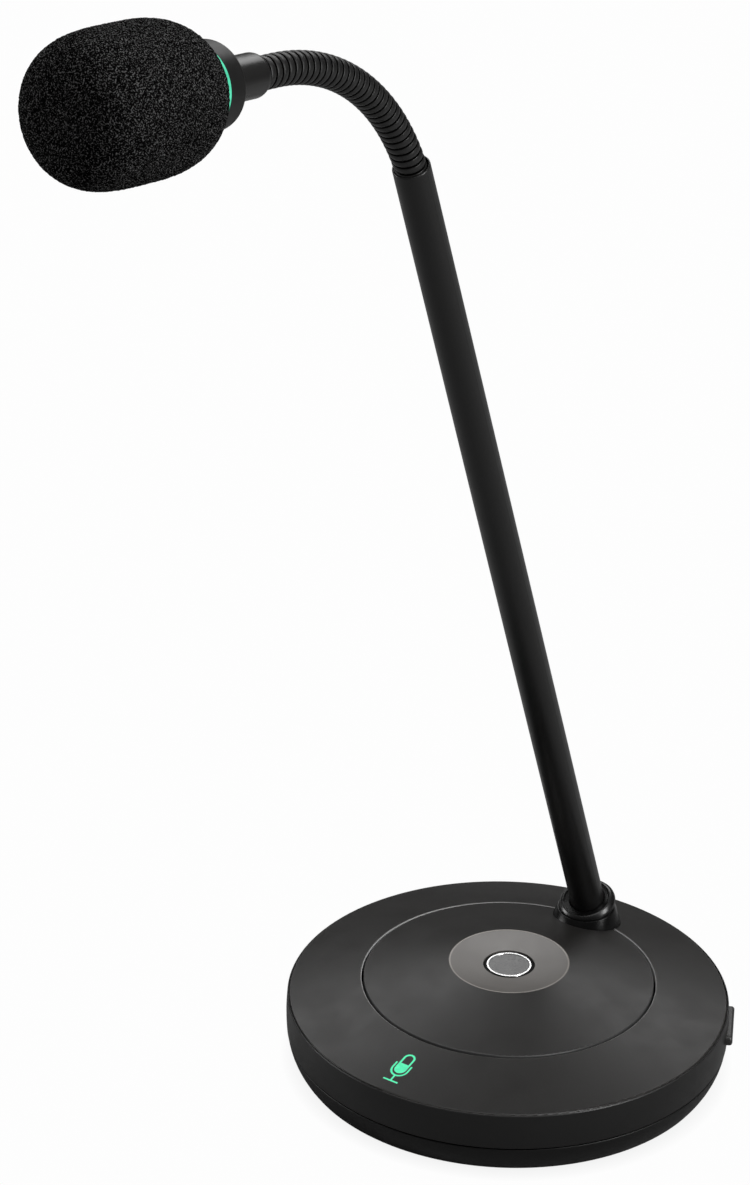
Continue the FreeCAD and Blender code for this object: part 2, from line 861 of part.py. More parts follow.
def symbol_light_guide():
    """Clear piece under the ring plate whose raised sign fills the windows."""
    body = new_body("symbol_light_guide")
    rise = size.opening_height - size.deck_top
    slab = sketch_on(body, "XY_Plane", size.deck_top)
    half, front, back = size.symbol_slab_half, -size.symbol_slab_front, size.symbol_slab_back
    draw_piece(slab, [(half, front), (half, back), (-half, back), (-half, front)])
    pad(body, slab, rise)
    under_skin = -size.skin - size.symbol_gap
    trim_to_plate(body, under_skin, above=True)
    trim_to_plate(body, under_skin - size.symbol_slab_thickness, above=False)
    sign = sketch_on(body, "XY_Plane", size.opening_height)
    draw_capsule(sign, 0)
    draw_yoke(sign, 0)
    # the raised sign reaches down into the slab
    pad(body, sign, rise * 2).Midplane = True
    doc.recompute()
    trim_to_plate(body, -TOUCH_GAP, above=True)
    trim_to_plate(body, under_skin - size.symbol_slab_thickness, above=False)
    mask = sketch_on(body, "XY_Plane", size.opening_height)
    draw_mask(mask, 0)
    pocket(body, mask, rise)


def symbol_mask():
    """Dark insert in the upper half of the sign's capsule."""
    body = new_body("symbol_mask")
    mask = sketch_on(body, "XY_Plane", size.deck_top)
    draw_mask(mask, size.symbol_gap / 2)
    pad(body, mask, size.opening_height - size.deck_top)
    trim_to_plate(body, -TOUCH_GAP, above=True)
    trim_to_plate(body, -size.skin - size.symbol_gap - size.symbol_slab_thickness, above=False)


def trim_to_plate(body, offset, above):
    """Cut away all that lies above, or below, the ring plate's top face plus an offset."""
    near, far = size.opening_radius, size.band_radius
    limit = size.opening_height * 2 if above else 0
    face = [(near, plate_height(near) + offset), (far, plate_height(far) + offset)]
    if above:
        groove(body, face + [(far, limit), (near, limit)])
    else:
        groove(body, [(near, limit), (far, limit)] + face[::-1])


def mute_disc():
    """Domed disc with a finger dish, an emblem recess, guide pins and switch pushers."""
    body = new_body("mute_disc")
    edge, rim = size.disc_edge_round, size.dish_rim_width
    turn(body, [
        (0, size.disc_hub_bottom),
        (size.disc_hub_radius, size.disc_hub_bottom),
        (size.dish_radius - 1, disc_height(size.dish_radius) - size.skin - 0.6),
        (size.dish_radius + 1, disc_height(size.dish_radius + 1) - size.skin, -size.dome_curve),
        (size.disc_lip_radius, disc_height(size.disc_lip_radius) - size.skin),
        (size.disc_lip_radius, size.disc_edge_bottom),
        (size.disc_radius, size.disc_edge_bottom),
        (size.disc_radius, size.disc_edge_height - edge, edge),
        (size.disc_radius - edge, disc_height(size.disc_radius - edge), size.dome_curve),
        (size.dish_radius + rim, disc_height(size.dish_radius + rim), size.dish_rim_round),
        (size.dish_radius - rim, size.dish_rim_height - rim * 0.3, -size.dish_curve),
        (size.recess_radius, size.recess_rim_height),
        (size.recess_radius, size.recess_floor),
        (0, size.recess_floor),
    ])
    pins = sketch_on(body, "XY_Plane", size.guide_bottom)
    circles(pins, size.guide_radius, size.guide_distance, GUIDE_ANGLES)
    pad(body, pins, disc_height(size.guide_distance) - size.skin / 2 - size.guide_bottom)
    pusher_bottom = (
        size.switch_board_bottom + size.switch_board_thickness + size.switch_height
        + size.plunger_height + size.pusher_gap
    )
    pushers = sketch_on(body, "XY_Plane", pusher_bottom)
    circles(pushers, size.pusher_radius, size.switch_distance, SWITCH_ANGLES)
    pad(body, pushers, disc_height(size.switch_distance) - size.skin / 2 - pusher_bottom)
    pocket(body, leant_circle(body, size.boot_disc_hole, 0, size.boot_shift))


def emblem():
    """Plain disc with a bright ring let into it."""
    disc = new_body("emblem_disc")
    top = size.recess_floor + size.emblem_thickness
    floor = top - size.emblem_ring_depth
    outer = size.emblem_ring_outer + size.emblem_ring_play
    inner = size.emblem_ring_inner - size.emblem_ring_play
    turn(disc, [
        (0, size.recess_floor),
        (size.emblem_radius, size.recess_floor),
        (size.emblem_radius, top - size.emblem_edge),
        (size.emblem_radius - size.emblem_edge, top),
        (outer, top),
        (outer, floor),
        (inner, floor),
        (inner, top),
        (0, top),
    ])
    ring = new_body("emblem_ring")
    crest = top + size.emblem_ring_height
    edge = size.emblem_ring_edge
    turn(ring, [
        (size.emblem_ring_inner, floor),
        (size.emblem_ring_outer, floor),
        (size.emblem_ring_outer, crest - edge),
        (size.emblem_ring_outer - edge, crest),
        (size.emblem_ring_inner + edge, crest),
        (size.emblem_ring_inner, crest - edge),
    ])


# ---------------------------------------------------------------- inside the base


def ballast_plate():
    """Steel weight lying on the cover's floor."""
    body = new_body("ballast_plate")
    disc = sketch_on(body, "XY_Plane", size.ballast_bottom)
    circle(disc, size.ballast_radius)
    pad(body, disc, size.ballast_thickness)
    holes = sketch_on(body, "XY_Plane")
    circles(holes, size.post_hole, size.post_distance, POST_ANGLES)
    circles(holes, size.screw_bite, size.ballast_screw_distance, BALLAST_SCREW_ANGLES)
    pocket(body, holes)


def main_board():
    """Circuit board on four posts, with a tongue that reaches the side button and a notch for the stem."""
    body = new_body("main_board")
    disc = sketch_on(body, "XY_Plane", size.board_bottom)
    circle(disc, size.board_radius)
    pad(body, disc, size.board_thickness)
    for angle, reach, width in (
        (size.button_angle, size.board_tongue, size.board_tongue_width),
        (size.socket_angle, size.socket_face - size.socket_setback, size.board_tongue_width),
    ):
        tongue = sketch_on(body, "XY_Plane", size.board_bottom)
        root = size.board_radius / 2
        corners = [(root, -width / 2), (reach, -width / 2), (reach, width / 2), (root, width / 2)]
        outline(tongue, [polar_point(angle, *corner) for corner in corners])
        pad(body, tongue, size.board_thickness)
    holes = sketch_on(body, "XY_Plane")
    circles(holes, size.post_bore + 0.3, size.post_distance, POST_ANGLES)
    pocket(body, holes)
    pocket(body, leant_circle(body, size.stem_notch, 0))


def polar_point(angle, along, across):
    """A point given along and across the ray at an angle from +X."""
    along, across = as_size(along), as_size(across)
    x = along.turned(angle, "cos") - across.turned(angle, "sin")
    y = along.turned(angle, "sin") + across.turned(angle, "cos")
    return x, y


def box_at(name, length, width, height, angle, along, across, bottom):
    """A box driven by the sheet, centred on a point given along and across a ray, lying square to the ray."""
    box = doc.addObject("Part::Box", name)
    drive(box, "Length", length)
    drive(box, "Width", width)
    drive(box, "Height", height)
    corner = polar_point(
        angle, as_size(along) - as_size(length) / 2, as_size(across) - as_size(width) / 2
    )
    box.Placement = FreeCAD.Placement(
        FreeCAD.Vector(corner[0].number, corner[1].number, as_size(bottom).number),
        FreeCAD.Rotation(FreeCAD.Vector(0, 0, 1), as_size(angle).number),
    )
    return box


def board_components():
    """Chips, capacitors and connectors on the main board."""
    top = size.board_bottom + size.board_thickness
    chips = [
        # x, y, length, width, height
        (0, -6, 9, 9, 1.1),
        (16, 8, 6, 6, 0.9),
        (-18, 12, 7, 5, 1.2),
        (-14, -16, 8, 6, 2.4),
        (12, -22, 5, 10, 3.0),
        (-30, 2, 5, 7, 1.6),
        (24, -8, 4, 4, 0.8),
    ]
    tools = []
    for x, y, length, width, height in chips:
        tools.append(box_at("chip", length, width, height, 0, x, y, top))
    for x, y in ((-24, -12), (-24, -20), (4, 24), (12, 24)):
        tools.append(cylinder("capacitor", radius=2.5, height=3.6, base=(x, y, top.number)))
    group("board_components", tools)


def tact_switch(name, base, direction):
    """A small push switch: a square body with a round plunger."""
    half = size.switch_width / 2
    body = doc.addObject("Part::Box", name + "_body")
    drive(body, "Length", size.switch_width)
    drive(body, "Width", size.switch_width)
    drive(body, "Height", size.switch_height)
    body.Placement.Base = FreeCAD.Vector(-half.number, -half.number, 0)
    tip = size.switch_height + size.plunger_height
    plunger = cylinder(name + "_plunger", size.plunger_radius, tip, (0, 0, 0))
    switch = fused(name, [body, plunger])
    switch.Placement = FreeCAD.Placement(
        FreeCAD.Vector(*base), FreeCAD.Rotation(FreeCAD.Vector(0, 0, 1), FreeCAD.Vector(*direction))
    )
    return switch


def disc_switch_board():
    """Ring-shaped board under the mute disc."""
    body = new_body("disc_switch_board")
    ring = sketch_on(body, "XY_Plane", size.switch_board_bottom)
    circle(ring, size.switch_board_outer)
    circle(ring, size.switch_board_inner)
    pad(body, ring, size.switch_board_thickness)
    holes = sketch_on(body, "XY_Plane")
    circles(holes, size.switch_screw_hole, size.switch_screw_distance, SWITCH_SCREW_ANGLES)
    pocket(body, holes)


def disc_switches():
    """Three push switches the mute disc presses."""
    top = size.switch_board_bottom + size.switch_board_thickness
    tools = []
    for angle in SWITCH_ANGLES:
        x, y = around(size.switch_distance, angle)
        tools.append(tact_switch("disc_switch", (x.number, y.number, top.number), (0, 0, 1)))
    group("disc_switches", tools)


def disc_return_springs():
    """Coil springs round the guide pins, drawn at the length they have when the disc is pressed."""
    tools = []
    pitch = size.spring_length / 3
    for angle in GUIDE_ANGLES:
        x, y = around(size.guide_distance, angle)
        helix = doc.addObject("Part::Helix", "spring_path")
        drive(helix, "Pitch", pitch)
        drive(helix, "Height", size.spring_length - size.spring_wire * 2)
        drive(helix, "Radius", size.spring_radius)
        wire = doc.addObject("Part::Circle", "spring_section")
        drive(wire, "Radius", size.spring_wire)
        wire.Placement = FreeCAD.Placement(
            FreeCAD.Vector(size.spring_radius.number, 0, 0),
            FreeCAD.Rotation(FreeCAD.Vector(1, 0, 0), 90),
        )
        coil = doc.addObject("Part::Sweep", "spring")
        coil.Sections = [wire]
        coil.Spine = (helix, ["Edge1"])
        coil.Solid = True
        coil.Frenet = True
        base = size.guide_boss_top + size.spring_wire + 0.03
        coil.Placement.Base = FreeCAD.Vector(x.number, y.number, base.number)
        tools.append(coil)
    group("disc_return_springs", tools)


def button_switch():
    """Switch on the board's tongue, facing the side button."""
    x, y = around(size.button_switch_face - size.switch_height, size.button_angle)
    direction = around(1, size.button_angle)
    base = (x.number, y.number, size.button_height.number)
    body = doc.addObject("Part::Box", "button_switch_body")
    drive(body, "Length", size.button_switch_thickness)
    drive(body, "Width", size.switch_width)
    drive(body, "Height", size.switch_height)
    corner = (-size.button_switch_thickness.number / 2, -size.switch_width.number / 2, 0)
    body.Placement.Base = FreeCAD.Vector(*corner)
    reach = size.switch_height + size.button_plunger_reach
    plunger = cylinder("button_switch_plunger", size.button_plunger_radius, reach, (0, 0, 0))
    switch = fused("button_switch", [body, plunger])
    switch.Placement = FreeCAD.Placement(
        FreeCAD.Vector(*base),
        FreeCAD.Rotation(FreeCAD.Vector(0, 0, 1), size.button_angle.number)
        * FreeCAD.Rotation(FreeCAD.Vector(0, 1, 0), 90),
    )
    keep(switch, "button_switch")


def usb_socket():
    """Socket in the back of the band: a metal shell with a tongue inside."""
    body = new_body("usb_socket")
    half = size.socket_width / 2
    rise = size.socket_thickness / 2
    wall = size.socket_wall
    shell = outline_face(body, half, rise)
    pad(body, shell, size.socket_depth)
    hollow = outline_face(body, half - wall, rise - wall, size.socket_depth)
    pocket(body, hollow, size.socket_depth - size.socket_back)
    tongue = sketch_on(body, "XY_Plane", 0)
    wide, thick = size.socket_tongue_width / 2, size.socket_tongue_thickness / 2
    rectangle(tongue, -wide, -thick, wide, thick)
    pad(body, tongue, size.socket_depth - size.socket_back)
    x, y = around(size.socket_face - size.socket_depth, size.socket_angle)
    z = size.board_bottom + size.board_thickness + rise
    body.Placement = FreeCAD.Placement(
        FreeCAD.Vector(x.number, y.number, z.number),
        FreeCAD.Rotation(FreeCAD.Vector(0, 0, 1), size.socket_angle.number)
        * FreeCAD.Rotation(FreeCAD.Vector(1, 1, 1), 120),
    )


def outline_face(body, half, rise, height=0):
    """A round-ended slot outline on the body's XY plane."""
    sketch = sketch_on(body, "XY_Plane", height)
    straight = half - rise
    outline(sketch, [
        (-straight, -rise),
        (straight, -rise, rise * NEARLY_ROUND),
        (straight, rise),
        (-straight, rise, rise * NEARLY_ROUND),
    ])
    return sketch


def symbol_board():
    """Small board on the deck under the lit sign."""
    board = box_at("symbol_board", size.symbol_board_depth, size.symbol_board_width,
                   size.symbol_board_thickness, FRONT_ANGLE,
                   size.symbol_board_distance, 0, size.deck_top + TOUCH_GAP)
    keep(board, "symbol_board")


def symbol_leds():
    """Lamps under the sign."""
    tools = []
    bottom = size.deck_top + size.symbol_board_thickness + TOUCH_GAP * 2
    for along, across in ((-1.5, -2.6), (-1.5, 2.6), (2.0, -2.6), (2.0, 2.6)):
        tools.append(box_at("lamp", 1.6, 0.9, 0.7, FRONT_ANGLE,
                            size.symbol_board_distance + along, across, bottom))
    group("symbol_leds", tools)


# ---------------------------------------------------------------- screws


def screw(name, base, head_radius, head_height, shank_radius, length, flat=False, up=True):
    """A screw whose head starts at the base point and whose shank points up or down."""
    if flat:
        head = doc.addObject("Part::Cone", name + "_head")
        drive(head, "Radius1", head_radius)
        drive(head, "Radius2", shank_radius)
        drive(head, "Height", head_height)
    else:
        head = cylinder(name + "_head", head_radius, head_height, (0, 0, 0))
    shank = cylinder(name + "_shank", shank_radius, length, (0, 0, 0))
    socket_radius, socket_depth = as_size(head_radius) * 0.42, as_size(head_height) * 0.6
    socket = cylinder(name + "_socket", socket_radius, socket_depth, (0, 0, 0))
    solid = cut(name, fused(name + "_solid", [head, shank]), socket)
    axis = FreeCAD.Vector(0, 0, 1) if up else FreeCAD.Vector(0, 0, -1)
    solid.Placement = FreeCAD.Placement(
        FreeCAD.Vector(*base), FreeCAD.Rotation(FreeCAD.Vector(0, 0, 1), axis)
    )
    return solid


def screw_circle(label, distance, angles, height, up=True, **measures):
    tools = []
    for angle in angles:
        x, y = around(distance, angle)
        base = (x.number, y.number, as_size(height).number)
        tools.append(screw(label + "_one", base, up=up, **measures))
    group(label, tools)


def all_screws():
    floor = size.cover_floor + 0.1
    head = {"head_radius": size.screw_head, "head_height": size.screw_head_depth - 0.15}
    screw_circle("housing_screws", size.boss_distance, BOSS_ANGLES, floor,
                 shank_radius=size.boss_bore - TOUCH_GAP, length=9, **head)
    screw_circle("ballast_screws", size.ballast_screw_distance, BALLAST_SCREW_ANGLES, floor,
                 shank_radius=size.screw_bite - TOUCH_GAP, length=6.5, **head)
    screw_circle("board_screws", size.post_distance, POST_ANGLES,
                 size.board_bottom + size.board_thickness + 1.22, up=False,
                 head_radius=2.1, head_height=1.2, shank_radius=size.post_bore - TOUCH_GAP, length=7)
    screw_circle("plate_screws", size.plate_screw_distance, PLATE_SCREW_ANGLES, size.deck_bottom - 1.52,
                 head_radius=2.3, head_height=1.5, shank_radius=size.plate_screw_radius - TOUCH_GAP, length=5.1)
    screw_circle("switch_board_screws", size.switch_screw_distance, SWITCH_SCREW_ANGLES,
                 size.switch_board_bottom + size.switch_board_thickness + 0.92, up=False,
                 head_radius=1.6, head_height=0.9, shank_radius=0.78, length=3.6)


def guide_clips():
    """Star washers that hold the disc's guide pins under the deck."""
    tools = []
    for angle in GUIDE_ANGLES:
        x, y = around(size.guide_distance, angle)
        base = (x.number, y.number, size.clip_top.number - size.clip_thickness.number)
        disc = cylinder("clip_disc", size.clip_radius, size.clip_thickness, base)
        hole = cylinder("clip_hole", size.guide_radius + 0.01, size.clip_thickness, base)
        tools.append(cut("clip", disc, hole))
    group("guide_clips", tools)


# ---------------------------------------------------------------- side button


def side_button():
    """Round-ended bar standing out of the band, with a flange behind it and a stalk to its switch."""
    body = new_body("side_button")
    half = size.button_length / 2
    rise = size.button_thickness / 2
    outer = size.band_radius + size.button_stand_out
    flange_back = size.button_flange_face - size.button_flange
    bar = outline_face(body, half, rise, flange_back + MERGE)
    pad(body, bar, outer - flange_back - MERGE)
    round_over(body, size.button_round, lambda middle, edge: middle.z > outer.number - 0.05)
    flange = sketch_on(body, "XY_Plane", flange_back)
    wide = size.button_flange_length / 2
    rectangle(flange, -wide, -size.button_flange_below, wide, size.button_flange_above)
    pad(body, flange, size.button_flange)
    stalk_end = size.button_switch_face + size.button_plunger_reach + size.button_travel + 0.05
    stalk = sketch_on(body, "XY_Plane", stalk_end)
    wide, tall = size.button_stalk_width / 2, size.button_stalk_height / 2
    rectangle(stalk, -wide, -tall, wide, tall)
    pad(body, stalk, flange_back - stalk_end + MERGE)
    body.Placement = FreeCAD.Placement(
        FreeCAD.Vector(0, 0, size.button_height.number),
        FreeCAD.Rotation(FreeCAD.Vector(0, 0, 1), size.button_angle.number)
        * FreeCAD.Rotation(FreeCAD.Vector(1, 1, 1), 120),
    )


# ---------------------------------------------------------------- stem


def stem_tube():
    """Straight tube with a rounded lip at the top."""
    body = new_body("stem_tube")
    lip = size.stem_lip
    turn(body, [
        (size.stem_bore, 0),
        (size.stem_radius, 0),
        (size.stem_radius, size.stem_length - lip, lip),
        (size.stem_radius - lip, size.stem_length),
        (size.stem_bore, size.stem_length),
    ])
    body.Placement = stem_placement(-size.stem_foot.number)


def screw_sketch(body, radius):
    """A circle whose plane faces forward, square to the stem, for the grub screw."""
    y = size.stem_y + size.grub_distance.turned(size.stem_lean, "sin")
    z = size.stem_z - size.grub_distance.turned(size.stem_lean, "cos")
    sketch = sketch_on(body, "XY_Plane", z, size.stem_lean + 90, y)
    circle(sketch, radius)
    return sketch


def stem_grub_screw():
    """Screw that grips the stem in its socket."""
    body = new_body("stem_grub_screw")
    rod = sketch_on(body, "XY_Plane", 0)
    circle(rod, size.grub_radius)
    pad(body, rod, size.grub_length)
    key = sketch_on(body, "XY_Plane", size.grub_length)
    circle(key, size.grub_key)
    pocket(body, key, size.grub_key_depth)
    front = FreeCAD.Vector(0, -STEM_DIRECTION.z, STEM_DIRECTION.y)
    base = stem_placement(-size.grub_distance.number).Base + front * (size.stem_radius.number + 0.06)
    body.Placement = FreeCAD.Placement(base, FreeCAD.Rotation(FreeCAD.Vector(0, 0, 1), front))


def stem_boot():
    """Boot that covers the hole in the top: round foot on the dome, round rim square to the stem."""
    body = new_body("stem_boot")
    foot = sketch_on(body, "XY_Plane", size.boot_foot_z, -size.boot_foot_lean, size.boot_foot_y)
    circle(foot, size.boot_foot_radius)
    rim = leant_circle(body, size.boot_top_radius, size.boot_top, size.boot_shift)
    loft = body.newObject("PartDesign::AdditiveLoft", "stem_boot_loft")
    loft.Profile = foot
    loft.Sections = [rim]
    loft.Ruled = True
    doc.recompute()
    # the foot follows the dome, whose faces bulge a little above straight cones
    gap = size.boot_gap
    near, far, low = size.dish_radius, size.band_radius, size.deck_top
    groove(body, [
        (near, low),
        (far, low),
        (far, plate_height(far) + gap),
        (size.opening_radius, plate_height(size.opening_radius) + gap),
        (near, disc_height(near) + gap),
    ])
    spigot = leant_circle(body, size.boot_spigot, -size.boot_spigot_bottom, size.boot_shift)
    pad(body, spigot, size.boot_spigot_bottom + size.boot_top / 2)
    ledge = leant_circle(body, size.boot_ledge_radius, size.boot_top + 1, size.boot_shift)
    pocket(body, ledge, size.boot_ledge_depth + 1)
    pocket(body, leant_circle(body, size.stem_radius + size.boot_bore_play, 0))
    top = stem_placement(size.boot_top.number)
    ledge_length = 2 * math.pi * size.boot_ledge_radius.number

    def is_rim(middle, edge):
        return abs((middle - top.Base).dot(STEM_DIRECTION)) < 0.01 and edge.Length > ledge_length + 1

    round_over(body, size.boot_round, is_rim)


# ---------------------------------------------------------------- gooseneck


def neck_path(distance):
    """Point and direction at a distance along the gooseneck, which starts to bend inside the stem."""
    top = stem_placement((size.stem_length - size.stem_foot - size.neck_inside).number).Base
    radius = size.neck_bend_radius.number
    lead = size.neck_lead.number
    whole = math.radians(size.neck_bend_angle.number)
    inward = FreeCAD.Vector(0, -STEM_DIRECTION.z, STEM_DIRECTION.y)
    angle = min(max(distance - lead, 0) / radius, whole)
    bend = (STEM_DIRECTION * math.sin(angle) + inward * (1 - math.cos(angle))) * radius
    direction = STEM_DIRECTION * math.cos(angle) + inward * math.sin(angle)
    straight = distance - angle * radius - (lead if angle else 0)
    point = top + bend + direction * straight
    if angle:
        point += STEM_DIRECTION * lead
    return point, direction


def neck_length():
    """The straight lead inside the stem, the bend and the straight end, added up."""
    bend = math.radians(size.neck_bend_angle.number) * size.neck_bend_radius.number
    return size.neck_lead.number + bend + size.neck_straight.number


NECK_PITCH = (neck_length() - size.neck_inside.number) / size.neck_joints.number


def joint_point(number):
    """Centre of a joint; joint 1 is half a pitch above the stem."""
    return neck_path(size.neck_inside.number + (number - 0.5) * NECK_PITCH)[0]


def facing(base, direction):
    return FreeCAD.Placement(base, FreeCAD.Rotation(FreeCAD.Vector(0, 0, 1), direction))


def ball_corners(centre):
    """Outline of a shoulder and the ball beyond it, up to the bore."""
    shoulder = centre - (NECK_PITCH - size.neck_shoulder)
    shoulder_depth = NECK_PITCH - size.neck_shoulder.number
    ball = size.ball_radius.number
    at_shoulder = math.sqrt(ball ** 2 - shoulder_depth ** 2)
    at_bore = math.sqrt(ball ** 2 - size.neck_bore.number ** 2)
    return [
        (size.neck_radius, shoulder - size.neck_edge),
        (size.neck_radius - size.neck_edge, shoulder),
        (at_shoulder, shoulder, size.ball_radius),
        (size.neck_bore, centre + at_bore),
    ]


def cup_corners():
    """Outline of the hollow that takes the ball of the link before, from the bore to the mouth."""
    hollow = size.ball_radius + size.ball_clearance
    depth = math.sqrt(hollow.number ** 2 - size.neck_bore.number ** 2)
    return [
        (size.neck_bore, depth, -hollow),
        (hollow, 0),
        (size.neck_radius, 0),
    ]


def neck_root():
    """Plug in the top of the stem that carries the first ball; it leans a little within the bore."""
    body = new_body("neck_root")
    step = as_size(-NECK_PITCH / 2)
    turn(body, [
        (size.neck_bore, -size.root_length),
        (size.root_radius, -size.root_length),
        (size.root_radius, step),
        (size.neck_radius, step),
    ] + ball_corners(as_size(0)))
    foot = stem_placement((size.stem_length - size.stem_foot - size.root_length).number).Base
    body.Placement = facing(joint_point(1), (joint_point(1) - foot).normalize())


def neck_links():
    """The gooseneck's links, each a cup and a ball."""
    for number in range(1, int(size.neck_joints.number)):
        body = new_body("neck_link_%02d" % number)
        turn(body, cup_corners() + ball_corners(as_size(NECK_PITCH)))
        start, end = joint_point(number), joint_point(number + 1)
        body.Placement = facing(start, (end - start).normalize())


# ---------------------------------------------------------------- head


def head_placement(along=0.0):
    base, direction = neck_path(neck_length() - size.neck_straight.number + along)
    return facing(base, direction)


def head_body(label, corners):
    """A turned piece of the head, drawn with heights measured from the end of the bend."""
    body = new_body(label)
    turn(body, corners)
    body.Placement = head_placement()
    return body


def head_stub():
    """Cup on the last ball, with the tube that the collar holds."""
    start = size.neck_straight.number - NECK_PITCH / 2
    corners = [(x, as_size(start) + y, *bulge) for x, y, *bulge in cup_corners()]
    end = size.collar_end - 0.1
    head_body("head_stub", corners + [(size.neck_radius, end), (size.neck_bore, end)])


def head_collar():
    """Sleeve behind the head, its rear end rounded."""
    rear = size.neck_straight
    head_body("head_collar", [
        (size.collar_bore, rear),
        (size.collar_rear_radius, rear, size.collar_round),
        (size.collar_radius, rear + size.collar_shoulder),
        (size.collar_radius, size.collar_end),
        (size.collar_bore, size.collar_end),
    ])


def head_shell():
    """Cup-shaped shell that closes the back of the head."""
    rear = size.collar_end + TOUCH_GAP
    floor = rear + size.shell_wall
    inner = size.shell_radius - size.shell_wall
    head_body("head_shell", [
        (size.wire_hole, rear),
        (size.shell_radius - size.shell_round, rear, size.shell_round),
        (size.shell_radius, rear + size.shell_round),
        (size.shell_radius, size.shell_end),
        (inner, size.shell_end),
        (inner, floor),
        (size.wire_hole, floor),
    ])


def light_ring():
    """Clear ring that lights up ahead of the shell."""
    inner = size.basket_radius + size.head_play
    root = size.shell_radius - size.shell_wall - size.head_play
    head_body("light_ring", [
        (inner, size.shell_end - size.light_root),
        (root, size.shell_end - size.light_root),
        (root, size.shell_end + size.head_play),
        (size.light_radius, size.shell_end + size.head_play),
        (size.light_radius, size.light_end - size.light_edge),
        (size.light_radius - size.light_edge, size.light_end),
        (inner, size.light_end),
    ])


def capsule_housing():
    """Slotted tube with a rounded, pierced front."""
    inner = size.basket_radius - size.basket_wall
    nose = size.nose_round
    body = head_body("capsule_housing", [
        (inner, size.shell_end - size.basket_spigot),
        (size.basket_radius, size.shell_end - size.basket_spigot),
        (size.basket_radius, size.basket_end - nose, nose),
        (size.basket_radius - nose, size.basket_end),
        (0, size.basket_end),
        (0, size.basket_end - size.basket_wall),
        (inner - nose, size.basket_end - size.basket_wall, -nose),
        (inner, size.basket_end - size.basket_wall - nose),
    ])
    holes = sketch_on(body, "XY_Plane", size.basket_end)
    circle(holes, size.nose_hole)
    circles(holes, size.nose_hole, size.nose_small_ring, range(0, 360, 60))
    circles(holes, size.nose_hole, size.nose_large_ring, range(15, 375, 30))
    pocket(body, holes, size.basket_wall * 2)
    slot = body.newObject("Sketcher::SketchObject", "basket_slot")
    slot.AttachmentSupport = [(plane_of(body, "YZ_Plane"), "")]
    slot.MapMode = "FlatFace"
    half = size.slot_width / 2
    outline(slot, [
        (-half, size.slot_start + half),
        (half, size.slot_start + half),
        (half, size.slot_start + size.slot_length, half * NEARLY_ROUND),
        (-half, size.slot_start + size.slot_length),
    ])
    cutter = pocket(body, slot, size.basket_radius + 1, down=False)
    pattern = body.newObject("PartDesign::PolarPattern", "basket_slots")
    pattern.Originals = [cutter]
    pattern.Axis = (plane_of(body, "Z_Axis"), [""])
    pattern.Angle = 360
    drive(pattern, "Occurrences", size.slot_count)
    body.Tip = pattern
    doc.recompute()


def capsule():
    """Microphone capsule: a can with a stepped face."""
    start = size.capsule_start
    end = start + size.capsule_length
    step = size.capsule_step
    head_body("capsule", [
        (0, start),
        (size.capsule_radius, start),
        (size.capsule_radius, end),
        (size.capsule_radius - step, end),
        (size.capsule_radius - step, end - step),
        (0, end - step),
    ])


def capsule_gasket():
    """Rubber sleeve that holds the capsule in its housing."""
    start = size.capsule_start + 1
    end = size.capsule_start + size.capsule_length - 1
    inner = size.capsule_radius + TOUCH_GAP
    outer = size.basket_radius - size.basket_wall - TOUCH_GAP
    head_body("capsule_gasket", [(inner, start), (outer, start), (outer, end), (inner, end)])


def head_board():
    """Round amplifier board behind the capsule."""
    start = size.head_board_start
    end = start + size.head_board_thickness
    head_body("head_board", [
        (0, start),
        (size.head_board_radius, start),
        (size.head_board_radius, end),
        (0, end),
    ])


def quarter(reach, squareness, steps=12):
    """Points of one quarter of the foam's outline, from its widest place to its end on the axis."""
    radius, middle = size.foam_radius.number, size.foam_middle.number
    power = squareness.number
    points = []
    for step in range(steps + 1):
        angle = math.pi / 2 * step / steps
        wide, far = math.cos(angle), math.sin(angle)
        spread = (abs(wide) ** power + far ** power) ** (1 / power)
        points.append(FreeCAD.Vector(radius * abs(wide) / spread, 0, middle + reach.number * far / spread))
    return points


def curve_through(points):
    curve = Part.BSplineCurve()
    curve.interpolate(points)
    return curve.toShape()


def foam_windscreen():
    """Foam cap: a barrel with a rounded front and a blind hole that slips over the housing."""
    rear = quarter(size.foam_rear - size.foam_middle, size.foam_rear_squareness)
    front = quarter(size.foam_front - size.foam_middle, size.foam_front_squareness)
    axis = Part.makeLine(front[-1], rear[-1])
    outside = Part.Wire([curve_through(rear[::-1]), curve_through(front), axis])
    whole = Part.Face(outside).revolve(FreeCAD.Vector(), FreeCAD.Vector(0, 0, 1), 360)
    mouth = size.foam_rear.number - 1
    depth = size.foam_bore_end.number - mouth
    bore = Part.makeCylinder(size.foam_bore.number, depth, FreeCAD.Vector(0, 0, mouth))
    part = doc.addObject("Part::Feature", "foam_windscreen")
    part.Shape = whole.cut(bore)
    part.Placement = head_placement()
    keep(part, "foam_windscreen")


# ---------------------------------------------------------------- build and write

BUILDERS = [
    bottom_cover, foot_ring, base_housing, top_ring_plate, symbol_light_guide, symbol_mask, mute_disc,
    emblem,
    ballast_plate, main_board, board_components, disc_switch_board, disc_switches, disc_return_springs,
    button_switch, usb_socket, symbol_board, symbol_leds, all_screws, guide_clips, side_button,
    stem_tube, stem_grub_screw, stem_boot, neck_root, neck_links, head_stub, head_collar, head_shell,
    light_ring, capsule_housing, capsule, capsule_gasket, head_board, foam_windscreen,
]

for builder in BUILDERS:
    builder()
doc.recompute()

for thing in doc.Objects:
    if "Invalid" in thing.State or "Error" in thing.State:
        raise ValueError("%s did not recompute: %s" % (thing.Label, thing.State))

